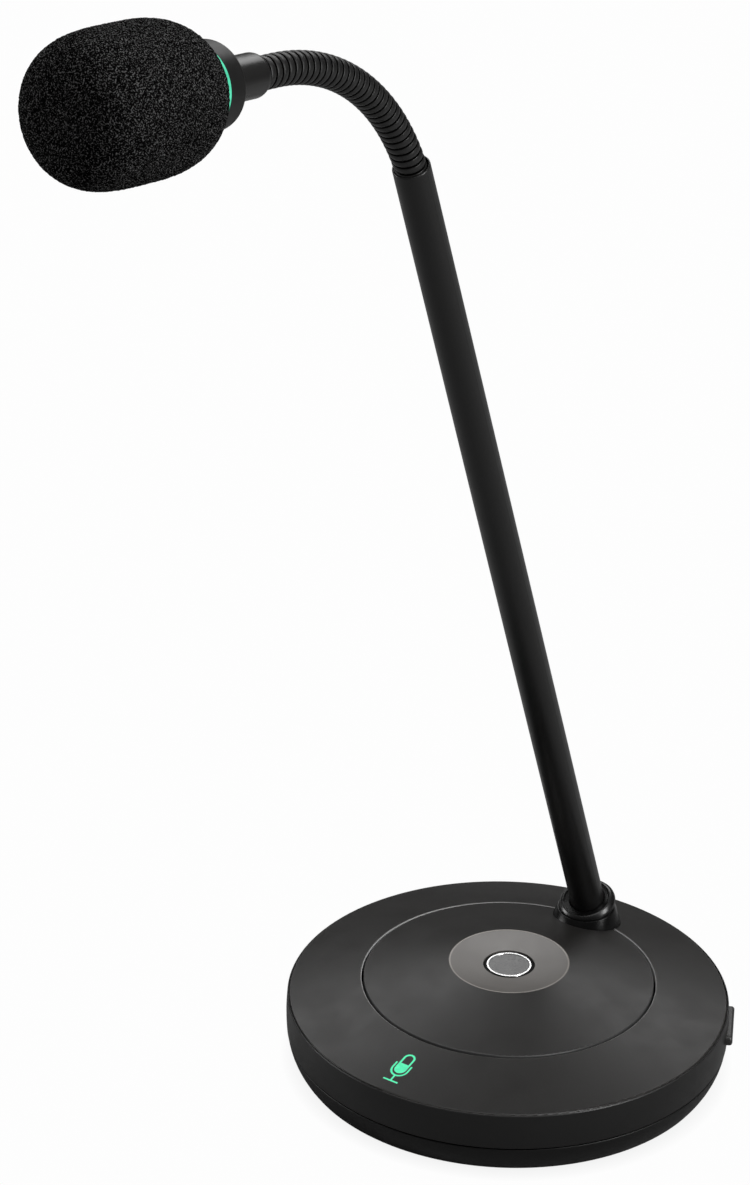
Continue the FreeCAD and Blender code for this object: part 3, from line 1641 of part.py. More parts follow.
os.makedirs("parts", exist_ok=True)
for part in parts:
    if part.Shape.isNull() or not part.Shape.isValid():
        raise ValueError("%s has a bad shape" % part.Label)
    part.Shape.exportStep("parts/%s.step" % part.Label)
    print("%-22s %8.0f mm3  %d solids" % (part.Label, part.Shape.Volume, len(part.Shape.Solids)))
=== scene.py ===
import json
import math

import bmesh
import bpy
import numpy as np
from mathutils import Matrix, Vector, noise

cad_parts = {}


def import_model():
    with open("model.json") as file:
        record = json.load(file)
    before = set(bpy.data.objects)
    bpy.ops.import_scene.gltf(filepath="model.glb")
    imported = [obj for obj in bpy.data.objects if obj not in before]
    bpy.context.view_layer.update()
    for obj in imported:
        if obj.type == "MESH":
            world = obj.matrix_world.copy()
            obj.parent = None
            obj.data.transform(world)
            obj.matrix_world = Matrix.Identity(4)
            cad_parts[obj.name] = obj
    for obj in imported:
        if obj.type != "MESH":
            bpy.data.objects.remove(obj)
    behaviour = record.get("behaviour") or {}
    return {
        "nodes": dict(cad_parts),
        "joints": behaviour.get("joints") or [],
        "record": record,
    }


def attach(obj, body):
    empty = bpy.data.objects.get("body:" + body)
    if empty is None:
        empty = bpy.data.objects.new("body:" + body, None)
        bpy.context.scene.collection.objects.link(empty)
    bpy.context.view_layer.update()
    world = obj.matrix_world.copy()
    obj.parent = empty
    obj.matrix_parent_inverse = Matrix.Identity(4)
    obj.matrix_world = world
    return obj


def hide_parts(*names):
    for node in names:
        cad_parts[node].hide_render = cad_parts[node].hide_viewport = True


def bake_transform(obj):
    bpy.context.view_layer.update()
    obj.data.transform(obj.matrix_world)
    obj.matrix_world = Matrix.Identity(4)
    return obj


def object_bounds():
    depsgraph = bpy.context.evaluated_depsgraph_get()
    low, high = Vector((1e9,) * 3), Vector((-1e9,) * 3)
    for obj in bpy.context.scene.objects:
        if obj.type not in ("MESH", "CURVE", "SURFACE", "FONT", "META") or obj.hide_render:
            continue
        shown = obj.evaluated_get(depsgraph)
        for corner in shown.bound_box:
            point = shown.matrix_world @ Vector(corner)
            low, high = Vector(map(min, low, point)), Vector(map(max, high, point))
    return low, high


MM = 0.001

# ---------------------------------------------------------------- the frame

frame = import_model()
cad_low, cad_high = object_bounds()
joints = {joint["name"]: joint for joint in frame["joints"]}


def node_points(name):
    """Every vertex of a CAD node at rest, as rows of x, y, z."""
    vertices = frame["nodes"][name].data.vertices
    flat = np.empty(len(vertices) * 3)
    vertices.foreach_get("co", flat)
    return flat.reshape(-1, 3)


# ---------------------------------------------------------------- middle line of the gooseneck

HINGE_COUNT = 14


def hinge(number):
    """The gooseneck's hinge with this number, counted from the tube."""
    return next(joint for name, joint in joints.items() if name.endswith("_%02d" % number))


def hinge_point(number):
    return Vector(hinge(number)["pos_m"])


def circle_through(a, b, c):
    """Centre of the circle through three points of the plane x = 0."""
    rows = np.array([[b.y - a.y, b.z - a.z], [c.y - b.y, c.z - b.z]])
    sums = np.array([b.length_squared - a.length_squared, c.length_squared - b.length_squared])
    y, z = np.linalg.solve(rows, sums / 2)
    return Vector((0, y, z))


head_axis = Vector(joints["windscreen_pull"]["axis"]).normalized()
bend_centre = circle_through(hinge_point(1), hinge_point(7), hinge_point(13))
bend_radius = (hinge_point(1) - bend_centre).length
hinge_angle = (hinge_point(1) - bend_centre).angle(hinge_point(2) - bend_centre)
hinge_step = bend_radius * hinge_angle
neck_root_arm = Matrix.Rotation(-hinge_angle / 2, 3, "X") @ (hinge_point(1) - bend_centre)
neck_root_point = bend_centre + neck_root_arm
stem_axis = Vector((0, -neck_root_arm.z, neck_root_arm.y)).normalized()
bend_length = bend_radius * stem_axis.angle(head_axis)
neck_length = hinge_step * HINGE_COUNT


def neck_frame(run):
    """Middle point, direction and outward normal of the gooseneck at a distance from the tube's mouth."""
    on_bend = min(max(run, 0.0), bend_length)
    turn = Matrix.Rotation(on_bend / bend_radius, 3, "X")
    direction = turn @ stem_axis
    normal = (turn @ neck_root_arm).normalized()
    point = bend_centre + turn @ neck_root_arm + direction * (run - on_bend)
    return point, direction, normal


head_start = neck_frame(neck_length)[0]

# ---------------------------------------------------------------- material graphs


SHADER_INPUTS = {
    "colour": "Base Color",
    "rough": "Roughness",
    "metal": "Metallic",
    "specular": "Specular IOR Level",
    "anisotropic": "Anisotropic",
    "tangent": "Tangent",
    "glow": "Emission Color",
    "glow_strength": "Emission Strength",
}


# the colour sockets of a Mix node, by number because several of its sockets share a name
COLOUR_A = 6
COLOUR_B = 7
COLOUR_OUT = 2
# cosine between rounded and true normal where wear begins and where it is full
EDGE_BEGINS = 0.995
EDGE_FULL = 0.93


class Graph:
    """Node graph of one material: a Principled shader fed by patterns laid out in metres."""

    def __init__(self, name):
        self.material = bpy.data.materials.new(name)
        self.material.use_nodes = True
        self.tree = self.material.node_tree
        self.shader = self.tree.nodes["Principled BSDF"]
        self.place = self.add("ShaderNodeTexCoord").outputs["Object"]

    def add(self, kind, **settings):
        """New node of a kind, with its own properties set."""
        made = self.tree.nodes.new(kind)
        for key, value in settings.items():
            setattr(made, key, value)
        return made

    def feed(self, source, socket):
        """Connect an output, or set a plain value."""
        if isinstance(source, bpy.types.NodeSocket):
            self.tree.links.new(source, socket)
        else:
            socket.default_value = source

    def noise(self, cell, detail=3.0, place=None):
        """Soft random pattern, 0 to 1, with features of about one cell (metres)."""
        made = self.add("ShaderNodeTexNoise")
        made.inputs["Scale"].default_value = 1.0 / cell
        made.inputs["Detail"].default_value = detail
        self.feed(place or self.place, made.inputs["Vector"])
        return made.outputs["Fac"]

    def squeezed(self, scale):
        """Place of the shaded point with its axes scaled, for patterns with a grain direction."""
        made = self.add("ShaderNodeMapping")
        self.feed(self.place, made.inputs["Vector"])
        made.inputs["Scale"].default_value = scale
        return made.outputs["Vector"]

    def cells(self, cell, feature="F1"):
        """Distance pattern of random cells of about one cell (metres)."""
        made = self.add("ShaderNodeTexVoronoi", feature=feature)
        made.inputs["Scale"].default_value = 1.0 / cell
        self.feed(self.place, made.inputs["Vector"])
        return made.outputs["Distance"]

    def scaled(self, value, from_low, from_high, low, high):
        """Map a value from one range to another, held at both ends."""
        made = self.add("ShaderNodeMapRange")
        for socket, number in zip(made.inputs[1:5], (from_low, from_high, low, high)):
            socket.default_value = number
        self.feed(value, made.inputs["Value"])
        return made.outputs["Result"]

    def maths(self, operation, a, b=0.0):
        """One arithmetic step on two values."""
        made = self.add("ShaderNodeMath", operation=operation)
        self.feed(a, made.inputs[0])
        self.feed(b, made.inputs[1])
        return made.outputs[0]

    def mixed(self, share, a, b):
        """Blend of two colours."""
        made = self.add("ShaderNodeMix", data_type="RGBA")
        self.feed(share, made.inputs["Factor"])
        self.feed(a, made.inputs[COLOUR_A])
        self.feed(b, made.inputs[COLOUR_B])
        return made.outputs[COLOUR_OUT]

    def edges(self, width):
        """1 on sharp edges and 0 on open faces, from how a rounded normal leaves the true one."""
        rounded = self.add("ShaderNodeBevel", samples=4)
        rounded.inputs["Radius"].default_value = width
        geometry = self.add("ShaderNodeNewGeometry")
        meet = self.add("ShaderNodeVectorMath", operation="DOT_PRODUCT")
        self.feed(rounded.outputs["Normal"], meet.inputs[0])
        self.feed(geometry.outputs["Normal"], meet.inputs[1])
        return self.scaled(meet.outputs["Value"], EDGE_BEGINS, EDGE_FULL, 0.0, 1.0)

    def bump(self, height, depth, strength=1.0):
        """Raise the surface by a height pattern of the given depth (metres)."""
        made = self.add("ShaderNodeBump")
        made.inputs["Distance"].default_value = depth
        made.inputs["Strength"].default_value = strength
        self.feed(height, made.inputs["Height"])
        self.feed(made.outputs["Normal"], self.shader.inputs["Normal"])

    def set(self, **values):
        """Set inputs of the shader by short names, from outputs or plain values."""
        for key, value in values.items():
            self.feed(value, self.shader.inputs[SHADER_INPUTS[key]])


def grey(level, warmth=0.0):
    """Linear grey, a little redder with warmth above 0."""
    return (level * (1 + warmth), level, level * (1 - warmth), 1.0)


def worn_shell(name, dark, light, rough, grain_depth, warmth=0.03, edge_width=0.25 * MM, shine=3):
    """Moulded black plastic: fine spark-eroded grain, cloudy sheen and lighter edges, partly wear and
    partly painted highlight.
    """
    graph = Graph(name)
    clouds = graph.noise(28 * MM, detail=4)
    specks = graph.noise(0.35 * MM, detail=2)
    grain = graph.noise(0.16 * MM, detail=3)
    wear = graph.edges(edge_width)
    body = graph.mixed(clouds, grey(dark, warmth), grey(light, warmth))
    body = graph.mixed(graph.scaled(specks, 0.35, 0.75, 0.0, 0.3), body, grey(light * 1.6, warmth))
    # edges lighter by the shine factor: partly wear, partly painted highlight
    graph.set(colour=graph.mixed(graph.maths("MULTIPLY", wear, 0.5), body, grey(light * shine, warmth)))
    soft = graph.scaled(graph.noise(9 * MM, detail=5), 0.3, 0.7, rough - 0.04, rough + 0.04)
    graph.set(rough=graph.maths("SUBTRACT", soft, graph.maths("MULTIPLY", wear, 0.12)))
    graph.bump(grain, grain_depth, 0.7)
    return graph


def black_shell():
    graph = worn_shell("black_shell", 0.003, 0.006, 0.42, 0.012 * MM)
    graph.set(specular=0.33)
    return graph.material


def cover_shell():
    graph = worn_shell("cover_shell", 0.001, 0.002, 0.46, 0.016 * MM)
    graph.set(specular=0.26)
    return graph.material


def button_shell():
    return worn_shell("button_shell", 0.012, 0.018, 0.4, 0.01 * MM, edge_width=0.4 * MM).material


def distance_from_middle(graph):
    """Distance of a shaded point from the upright axis of the base."""
    place = graph.add("ShaderNodeSeparateXYZ")
    graph.feed(graph.place, place.inputs[0])
    x, y = place.outputs["X"], place.outputs["Y"]
    square = graph.maths("ADD", graph.maths("MULTIPLY", x, x), graph.maths("MULTIPLY", y, y))
    return graph.maths("SQRT", square)


def band_mask(graph, away, middle, width):
    """1 on a circle of the given radius round the base axis, fading to 0 over the width."""
    off = graph.maths("ABSOLUTE", graph.maths("SUBTRACT", away, middle))
    return graph.scaled(off, width * 0.3, width, 1.0, 0.0)


DISC_EDGE = 42.0 * MM
PLATE_EDGE = 42.6 * MM
DISH_RADIUS = 17.2 * MM
TOP_SHINE = 0.27
DISH_SHINE = 0.5


def dark_top(name="dark_top", dished=False):
    """Top plates: satin coat with a painted highlight along the gap between them; the finger dish is
    glossier, its colour painted lighter as painted sheen, with a painted highlight round its edge.
    """
    # shine=14 makes the edge lightening on the top plates a painted highlight
    graph = worn_shell(name, 0.01, 0.014, 0.36, 0.008 * MM, warmth=0.05, edge_width=0.25 * MM, shine=14)
    spread = graph.add("ShaderNodeTangent", direction_type="RADIAL", axis="Z")
    graph.set(anisotropic=0.35, tangent=spread.outputs["Tangent"], specular=TOP_SHINE)
    away = distance_from_middle(graph)
    coat = graph.shader.inputs["Base Color"].links[0].from_socket
    # painted highlight: a light ring on the coat along the gap between plate and disc
    gap_highlight = band_mask(graph, away, DISC_EDGE if dished else PLATE_EDGE, 0.3 * MM)
    coat = graph.mixed(gap_highlight, coat, grey(0.05 if dished else 0.5))
    graph.set(colour=coat)
    if dished:
        # painted sheen: the dish's colour is lighter; painted highlight: a lighter ring round the dish's
        # edge
        inside = graph.scaled(away, DISH_RADIUS - 0.3 * MM, DISH_RADIUS + 0.2 * MM, 1.0, 0.0)
        lip_highlight = band_mask(graph, away, DISH_RADIUS, 0.35 * MM)
        shown = graph.mixed(inside, coat, grey(0.09, 0.07))
        graph.set(colour=graph.mixed(lip_highlight, shown, grey(0.22, 0.07)))
        graph.set(specular=graph.scaled(inside, 0.0, 1.0, TOP_SHINE, DISH_SHINE))
    return graph.material


def stem_paint():
    """Satin black enamel with a trace of orange peel."""
    graph = Graph("stem_paint")
    peel = graph.noise(1.6 * MM, detail=2)
    dust = graph.noise(0.2 * MM, detail=2)
    wear = graph.edges(0.3 * MM)
    body = graph.mixed(graph.noise(22 * MM, detail=3), grey(0.004, 0.02), grey(0.007, 0.02))
    body = graph.mixed(graph.scaled(dust, 0.5, 0.8, 0.0, 0.2), body, grey(0.022))
    graph.set(colour=graph.mixed(graph.maths("MULTIPLY", wear, 0.4), body, grey(0.05)), specular=0.35)
    graph.set(rough=graph.scaled(graph.noise(6 * MM), 0.3, 0.7, 0.3, 0.37))
    graph.bump(graph.maths("ADD", peel, graph.maths("MULTIPLY", dust, 0.25)), 0.02 * MM, 0.6)
    return graph.material


def neck_steel():
    """Black-coated spring wire with painted shade in the grooves: near-black colour and no specular there,
    so the crowns stand out brighter.
    """
    graph = Graph("neck_steel")
    scuffs = graph.noise(1.2 * MM, detail=4)
    fine = graph.noise(0.15 * MM, detail=2)
    groove_shade = graph.add("ShaderNodeAttribute", attribute_name="groove_shade").outputs["Fac"]
    body = graph.mixed(scuffs, grey(0.005, 0.02), grey(0.009, 0.02))
    # painted shade: near-black colour and no specular in the grooves
    graph.set(colour=graph.mixed(groove_shade, body, grey(0.001)))
    graph.set(specular=graph.scaled(groove_shade, 0.0, 0.35, 0.38, 0.0))
    graph.set(rough=graph.scaled(scuffs, 0.3, 0.7, 0.34, 0.46))
    graph.bump(fine, 0.008 * MM, 0.6)
    return graph.material


def satin_metal(name, level, rough, metal=1.0):
    """Turned or rolled metal with fine scratches."""
    graph = Graph(name)
    scratches = graph.noise(0.6 * MM, detail=4, place=graph.squeezed((1, 1, 12)))
    stain = graph.noise(7 * MM, detail=3)
    wear = graph.edges(0.15 * MM)
    body = graph.mixed(stain, grey(level * 0.85), grey(level))
    graph.set(colour=graph.mixed(graph.maths("MULTIPLY", wear, 0.4), body, grey(min(1, level * 1.5))))
    graph.set(metal=metal, rough=graph.scaled(scratches, 0.3, 0.7, rough - 0.05, rough + 0.07))
    graph.bump(scratches, 0.006 * MM, 0.5)
    return graph.material


def soft_rubber(name, level, rough=0.6, grain_depth=0.02 * MM, dull_skirt=False):
    """Black rubber with a bloom; the boot's skirt is duller than its rim."""
    graph = Graph(name)
    bloom = graph.noise(5 * MM, detail=4)
    grain = graph.noise(0.25 * MM, detail=3)
    wear = graph.edges(0.3 * MM)
    body = graph.mixed(bloom, grey(level * 0.8), grey(level * 1.2))
    graph.set(colour=graph.mixed(graph.maths("MULTIPLY", wear, 0.4), body, grey(level * 3)))
    graph.set(rough=graph.scaled(bloom, 0.3, 0.7, rough - 0.05, rough + 0.06))
    if dull_skirt:
        skirt = graph.add("ShaderNodeAttribute", attribute_name="skirt").outputs["Fac"]
        graph.set(specular=graph.scaled(skirt, 0.0, 1.0, 0.5, 0.14))
    graph.bump(grain, grain_depth, 0.6)
    return graph.material


def circuit_board():
    """Green solder mask with copper tracks showing as a lighter pattern."""
    graph = Graph("board_green")
    tracks = graph.cells(3.1 * MM, feature="DISTANCE_TO_EDGE")
    lines = graph.scaled(tracks, 0.04, 0.07, 1.0, 0.0)
    weave = graph.noise(0.5 * MM, detail=2)
    body = graph.mixed(weave, (0.006, 0.05, 0.022, 1), (0.01, 0.075, 0.034, 1))
    graph.set(colour=graph.mixed(lines, body, (0.03, 0.16, 0.06, 1)))
    graph.set(rough=graph.scaled(weave, 0.3, 0.7, 0.28, 0.38))
    graph.bump(lines, 0.03 * MM, 0.5)
    return graph.material


def lit(name, deep, bright, strength, cell):
    """Light guide: translucent plastic that glows, a little unevenly."""
    graph = Graph(name)
    uneven = graph.noise(cell, detail=2)
    glow = graph.mixed(uneven, deep, bright)
    graph.set(colour=graph.mixed(uneven, grey(0.02), grey(0.04)), glow=glow, specular=0.2)
    graph.set(glow_strength=graph.scaled(uneven, 0.3, 0.7, strength * 0.92, strength * 1.08))
    graph.set(rough=graph.scaled(graph.noise(0.3 * MM), 0.3, 0.7, 0.25, 0.35))
    graph.bump(graph.noise(0.2 * MM), 0.004 * MM, 0.5)
    return graph.material


def foam_look():
    """Open-cell foam: painted shade in the pits between thin lighter struts, and specks painted as glints
    where struts catch the light.
    """
    graph = Graph("foam_look")
    pits = graph.cells(0.8 * MM)
    struts = graph.scaled(graph.cells(0.8 * MM, feature="DISTANCE_TO_EDGE"), 0.02, 0.14, 1.0, 0.0)
    glints = graph.scaled(graph.noise(0.36 * MM, detail=1), 0.53, 0.66, 0.0, 1.0)
    patches = graph.noise(6 * MM, detail=3)
    # painted shade: the pits darker than the struts
    body = graph.mixed(struts, grey(0.0005), grey(0.003))
    # painted highlight: light specks as glints on the struts
    body = graph.mixed(glints, body, grey(0.105))
    graph.set(colour=graph.mixed(graph.scaled(patches, 0.3, 0.7, 0.0, 0.3), body, grey(0.004)))
    graph.set(rough=0.85, specular=graph.scaled(glints, 0.0, 1.0, 0.0, 0.5))
    height = graph.maths("ADD", graph.maths("MULTIPLY", pits, -0.7), glints)
    graph.bump(height, 0.3 * MM, 1.0)
    return graph.material


EMBLEM_RING = 6.1 * MM


def emblem_black():
    """Plain disc: a grainy grey face inside the ring; outside it near-black and dull, painted shade at the
    recess edge.
    """
    graph = Graph("emblem_black")
    grain = graph.noise(0.35 * MM, detail=2)
    away = distance_from_middle(graph)
    rim = graph.scaled(away, EMBLEM_RING, EMBLEM_RING + 0.15 * MM, 0.0, 1.0)
    face = graph.mixed(graph.scaled(grain, 0.35, 0.65, 0.0, 1.0), grey(0.05), grey(0.17))
    # painted shade: near-black colour and almost no specular outside the ring, for the shade at the recess
    # edge
    graph.set(colour=graph.mixed(rim, face, grey(0.001)), rough=graph.scaled(grain, 0.3, 0.7, 0.35, 0.5))
    graph.set(specular=graph.scaled(rim, 0.0, 1.0, 0.5, 0.05))
    graph.bump(grain, 0.02 * MM, 0.8)
    return graph.material


LOOKS = {
    "black_shell": black_shell(),
    "dark_top": dark_top(),
    "foot_rubber": soft_rubber("foot_rubber", 0.012, 0.7),
    "weight_steel": satin_metal("weight_steel", 0.45, 0.35),
    "board_green": circuit_board(),
    "chip_black": soft_rubber("chip_black", 0.015, 0.45, 0.01 * MM),
    "switch_plastic": soft_rubber("switch_plastic", 0.02, 0.4, 0.008 * MM),
    "screw_steel": satin_metal("screw_steel", 0.22, 0.32),
    "spring_steel": satin_metal("spring_steel", 0.5, 0.22),
    "socket_metal": satin_metal("socket_metal", 0.5, 0.3),
    "lamp_white": lit("lamp_white", (0.5, 1, 0.7, 1), (0.8, 1, 0.9, 1), 0.8, 2 * MM),
    "sign_light": lit("sign_light", (0.06, 0.83, 0.42, 1), (0.08, 0.9, 0.46, 1), 1.0, 1.5 * MM),
    "stem_paint": stem_paint(),
    "boot_rubber": soft_rubber("boot_rubber", 0.002, 0.26, 0.006 * MM, dull_skirt=True),
    "neck_steel": neck_steel(),
    "collar_paint": worn_shell("collar_paint", 0.006, 0.009, 0.3, 0.008 * MM).material,
    "ring_light": lit("ring_light", (0.04, 0.62, 0.34, 1), (0.1, 0.8, 0.5, 1), 1.0, 3 * MM),
    "housing_metal": satin_metal("housing_metal", 0.08, 0.45),
    "capsule_metal": satin_metal("capsule_metal", 0.5, 0.3),
    "gasket_rubber": soft_rubber("gasket_rubber", 0.012, 0.6),
    "foam": foam_look(),
    "emblem_black": emblem_black(),
    "emblem_silver": satin_metal("emblem_silver", 0.85, 0.18),
}
SPECIAL_LOOKS = {
    "bottom_cover": cover_shell(),
    "side_button": button_shell(),
    "mute_disc": dark_top("dark_top_disc", dished=True),
}

for part in frame["record"]["subparts"]:
    shown = frame["nodes"][part["node"]]
    shown.data.materials.clear()
    shown.data.materials.append(SPECIAL_LOOKS.get(part["node"], LOOKS[part["material_slot"]]))

# ---------------------------------------------------------------- mesh tools


def mesh_object(name, points, faces, look):
    """New smooth-shaded piece from vertex rows and index tuples."""
    mesh = bpy.data.meshes.new(name)
    mesh.from_pydata([tuple(p) for p in points], [], faces)
    mesh.validate()
    mesh.materials.append(look)
    mesh.polygons.foreach_set("use_smooth", [True] * len(mesh.polygons))
    mesh.update()
    piece = bpy.data.objects.new(name, mesh)
    bpy.context.scene.collection.objects.link(piece)
    return piece


def tube_faces(rows, around, flipped=False):
    """Quads of a tube made of rings of points; flipped where the rings turn the other way."""
    faces = []
    for row in range(rows - 1):
        for column in range(around):
            a = row * around + column
            b = row * around + (column + 1) % around
            if flipped:
                faces.append((a, a + around, b + around, b))
            else:
                faces.append((a, b, b + around, a + around))
    return faces


def point_values(piece, name, values):
    """Store one number per vertex for a material to read."""
    made = piece.data.attributes.new(name, "FLOAT", "POINT")
    made.data.foreach_set("value", values)


# ---------------------------------------------------------------- gooseneck hose

HOSE_RADIUS = 4.25 * MM
HOSE_PITCH = 2.56 * MM
HOSE_CROWN = 0.28 * MM
HOSE_GROOVE = 0.5 * MM
HOSE_GROOVE_START = 0.72
HOSE_SHADE_RISE = 3
HOSE_AROUND = 72
HOSE_ROWS = 48
HOSE_TUCK = 6 * MM


def hose_radius(run, angle):
    """Radius of the wound wire and how much painted shade it gets in the grooves: flat, slightly crowned
    turns.
    """
    phase = (run / HOSE_PITCH - angle / math.tau) % 1.0
    off_middle = abs(2 * phase - 1)
    into_groove = max(0.0, (off_middle - HOSE_GROOVE_START) / (1 - HOSE_GROOVE_START))
    dip = into_groove * into_groove * (3 - 2 * into_groove)
    radius = HOSE_RADIUS - HOSE_CROWN * off_middle**2 - HOSE_GROOVE * dip
    return radius, min(1.0, HOSE_SHADE_RISE * into_groove)


def hose_section(number):
    """The wound hose from the middle of one link to the middle of the next, across one hinge."""
    start, end = (number - 1) * hinge_step, number * hinge_step
    first = start - (HOSE_TUCK if number == 1 else 0)
    last = end + (HOSE_TUCK if number == HINGE_COUNT else 0)
    rows = round(HOSE_ROWS * (last - first) / hinge_step)
    across = Vector((1, 0, 0))
    points, groove_shades = [], []
    for row in range(rows + 1):
        run = first + (last - first) * row / rows
        middle, direction, normal = neck_frame(run)
        for column in range(HOSE_AROUND):
            angle = math.tau * column / HOSE_AROUND
            arm = normal * math.cos(angle) + across * math.sin(angle)
            radius, depth = hose_radius(run, angle)
            points.append(middle + arm * radius)
            groove_shades.append(depth)
    faces = tube_faces(rows + 1, HOSE_AROUND, flipped=True)
    piece = mesh_object("hose_%02d" % number, points, faces, LOOKS["neck_steel"])
    # painted shade for the grooves, read by the neck_steel material
    point_values(piece, "groove_shade", groove_shades)
    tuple(neck_frame(start)[0])
    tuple(neck_frame(end)[0])
    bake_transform(piece)
    if number == 1:
        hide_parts("neck_root")
    if number == HINGE_COUNT:
        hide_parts("head_stub")
    else:
        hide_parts("neck_link_%02d" % number)


for number in range(1, HINGE_COUNT + 1):
    hose_section(number)

# ---------------------------------------------------------------- boot round the foot of the stem

BOOT_AROUND = 144
# rings of the skirt from the foot up: share of the way up to the rim, and of the way out to the foot
BOOT_SKIRT = [(0.0, 1.0), (0.04, 0.97), (0.2, 0.82), (0.4, 0.6), (0.6, 0.36), (0.66, 0.28)]
# rings of the rounded band and the sunken ledge inside it: radius and height over the rim, in mm
BOOT_BAND = [(8.05, -2.8), (8.35, -2.5), (8.45, -2.0), (8.35, -1.4), (8.0, -0.8), (7.5, -0.3), (7.1, -0.08)]
BOOT_LEDGE = [(6.85, -0.05), (6.7, -0.2), (6.6, -0.45), (6.3, -0.5), (5.7, -0.5), (5.3, -0.55)]
BOOT_FOOT_MIDDLE = Vector((0, 41.8, 0)) * MM
BOOT_FOOT_RADIUS = 10.1 * MM
BOOT_RIM_MIDDLE_UP = 8.4 * MM
BOOT_RIM_RADIUS = 7.95 * MM
BOOT_RIM_SHIFT = -0.4 * MM
BOOT_BORE = 5.05 * MM
BOOT_BORE_HEIGHTS = (-0.7, -6.0)
STEM_START = Vector((0, 44.2, 25.6)) * MM
STEM_END_SAMPLE = 6 * MM


GAP_MIDDLE = 42.4 * MM
PLATE_START = 42.66 * MM
PLATE_START_HEIGHT = 25.95 * MM
PLATE_SLOPE = 0.249
DISC_EDGE_HEIGHT = 26.1 * MM
DISC_SLOPE = 0.2243


def dome_height(distance):
    """Height of the base's top at a distance from its middle: two straight slopes."""
    if distance > GAP_MIDDLE:
        return PLATE_START_HEIGHT - (distance - PLATE_START) * PLATE_SLOPE
    return DISC_EDGE_HEIGHT + (DISC_EDGE - distance) * DISC_SLOPE


def boot_piece():
    """Flared skirt, a rounded band at the rim and a sunken ledge round the tube."""
    lean = stem_direction()
    back = Vector((0, lean.z, -lean.y))
    rim_middle = STEM_START + lean * BOOT_RIM_MIDDLE_UP + back * BOOT_RIM_SHIFT
    points = []

    def ring(at):
        for column in range(BOOT_AROUND):
            angle = math.tau * column / BOOT_AROUND
            points.append(at(Vector((math.cos(angle), 0, 0)), math.sin(angle)))

    def on_rim(radius, up, shift=0.0):
        ring(lambda side, far: rim_middle + lean * up - back * shift + (side + back * far) * radius)

    def on_skirt(share, spread):
        def at(side, far):
            foot = BOOT_FOOT_MIDDLE + (side + Vector((0, far, 0))) * BOOT_FOOT_RADIUS
            foot.z = dome_height(math.hypot(foot.x, foot.y))
            rim = rim_middle + (side + back * far) * BOOT_RIM_RADIUS
            level = foot.lerp(rim, share)
            wide = foot.lerp(rim, 1 - spread)
            return Vector((wide.x, wide.y, level.z))
        ring(at)

    for share, spread in BOOT_SKIRT:
        on_skirt(share, spread)
    for radius, up in BOOT_BAND + BOOT_LEDGE:
        on_rim(radius * MM, up * MM)
    for up in BOOT_BORE_HEIGHTS:
        on_rim(BOOT_BORE, up * MM, BOOT_RIM_SHIFT)
    faces = tube_faces(len(points) // BOOT_AROUND, BOOT_AROUND)
    piece = mesh_object("boot_cover", points, faces, LOOKS["boot_rubber"])
    skirt_points = len(BOOT_SKIRT) * BOOT_AROUND
    on_skirt_share = [1.0] * skirt_points + [0.0] * (len(points) - skirt_points)
    point_values(piece, "skirt", on_skirt_share)
    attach(piece, "base")
    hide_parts("stem_boot")


def stem_direction():
    """Direction up the stem, from the far ends of its tube."""
    points = node_points("stem_tube")
    heights = points[:, 2]
    low = points[heights < heights.min() + STEM_END_SAMPLE].mean(axis=0)
    high = points[heights > heights.max() - STEM_END_SAMPLE].mean(axis=0)
    return Vector(high - low).normalized()


boot_piece()

# ---------------------------------------------------------------- foam windscreen

FOAM_GRID = 128
FOAM_FRONT_SQUARENESS = 4.3
FOAM_REAR_SQUARENESS = 2.9
FOAM_FRONT_REACH = 25.15 * MM
FOAM_REAR_REACH = 22.5 * MM
FOAM_BORE_RADIUS = 9.25 * MM
FOAM_BORE_END = 9.4 * MM
FOAM_BORE_SHARE = 0.1
FOAM_PIT = 0.16 * MM
FOAM_CELL = 0.6 * MM
FOAM_FINE_SHARE = 0.6
FOAM_FINE_STEP = 2.1
FOAM_SINK = 0.2
PROFILE_STEPS = 160


def foam_measures():
    """How far the front of the CAD windscreen is along the head's axis, and its largest radius."""
    offsets = node_points("foam_windscreen") - np.array(head_start)
    along = offsets @ np.array(head_axis)
    radii = np.linalg.norm(offsets - np.outer(along, np.array(head_axis)), axis=1)
    return along.max(), radii.max()


def rounded_quarter(angles, reach, radius, squareness):
    """Reach along the axis and radius of a squared-off quarter circle; angle 0 is its widest place."""
    wide, far = np.cos(angles).clip(0), np.sin(angles)
    spread = (wide**squareness + far**squareness) ** (1 / squareness)
    return reach * far / spread, radius * wide / spread


def foam_profile(front, radius):
    """Outline from the front pole round the outside to the rear, then down the bore to its bottom."""
    middle = front - FOAM_FRONT_REACH
    angles = np.linspace(0, math.pi / 2, PROFILE_STEPS)
    ahead, front_radius = rounded_quarter(angles[::-1], FOAM_FRONT_REACH, radius, FOAM_FRONT_SQUARENESS)
    behind, rear_radius = rounded_quarter(angles, FOAM_REAR_REACH, radius, FOAM_REAR_SQUARENESS)
    outside = rear_radius > FOAM_BORE_RADIUS
    rear_along = middle - behind[outside]
    bore_along = np.linspace(rear_along[-1], front - FOAM_BORE_END, PROFILE_STEPS // 3)
    along = np.concatenate([middle + ahead, rear_along, bore_along, bore_along[-1:]])
    bore_radius = np.full(len(bore_along), FOAM_BORE_RADIUS)
    radii = np.concatenate([front_radius, rear_radius[outside], bore_radius, [0]])
    weight = np.where(np.arange(len(along)) < PROFILE_STEPS + outside.sum(), 1.0, FOAM_BORE_SHARE)
    return along, radii, weight


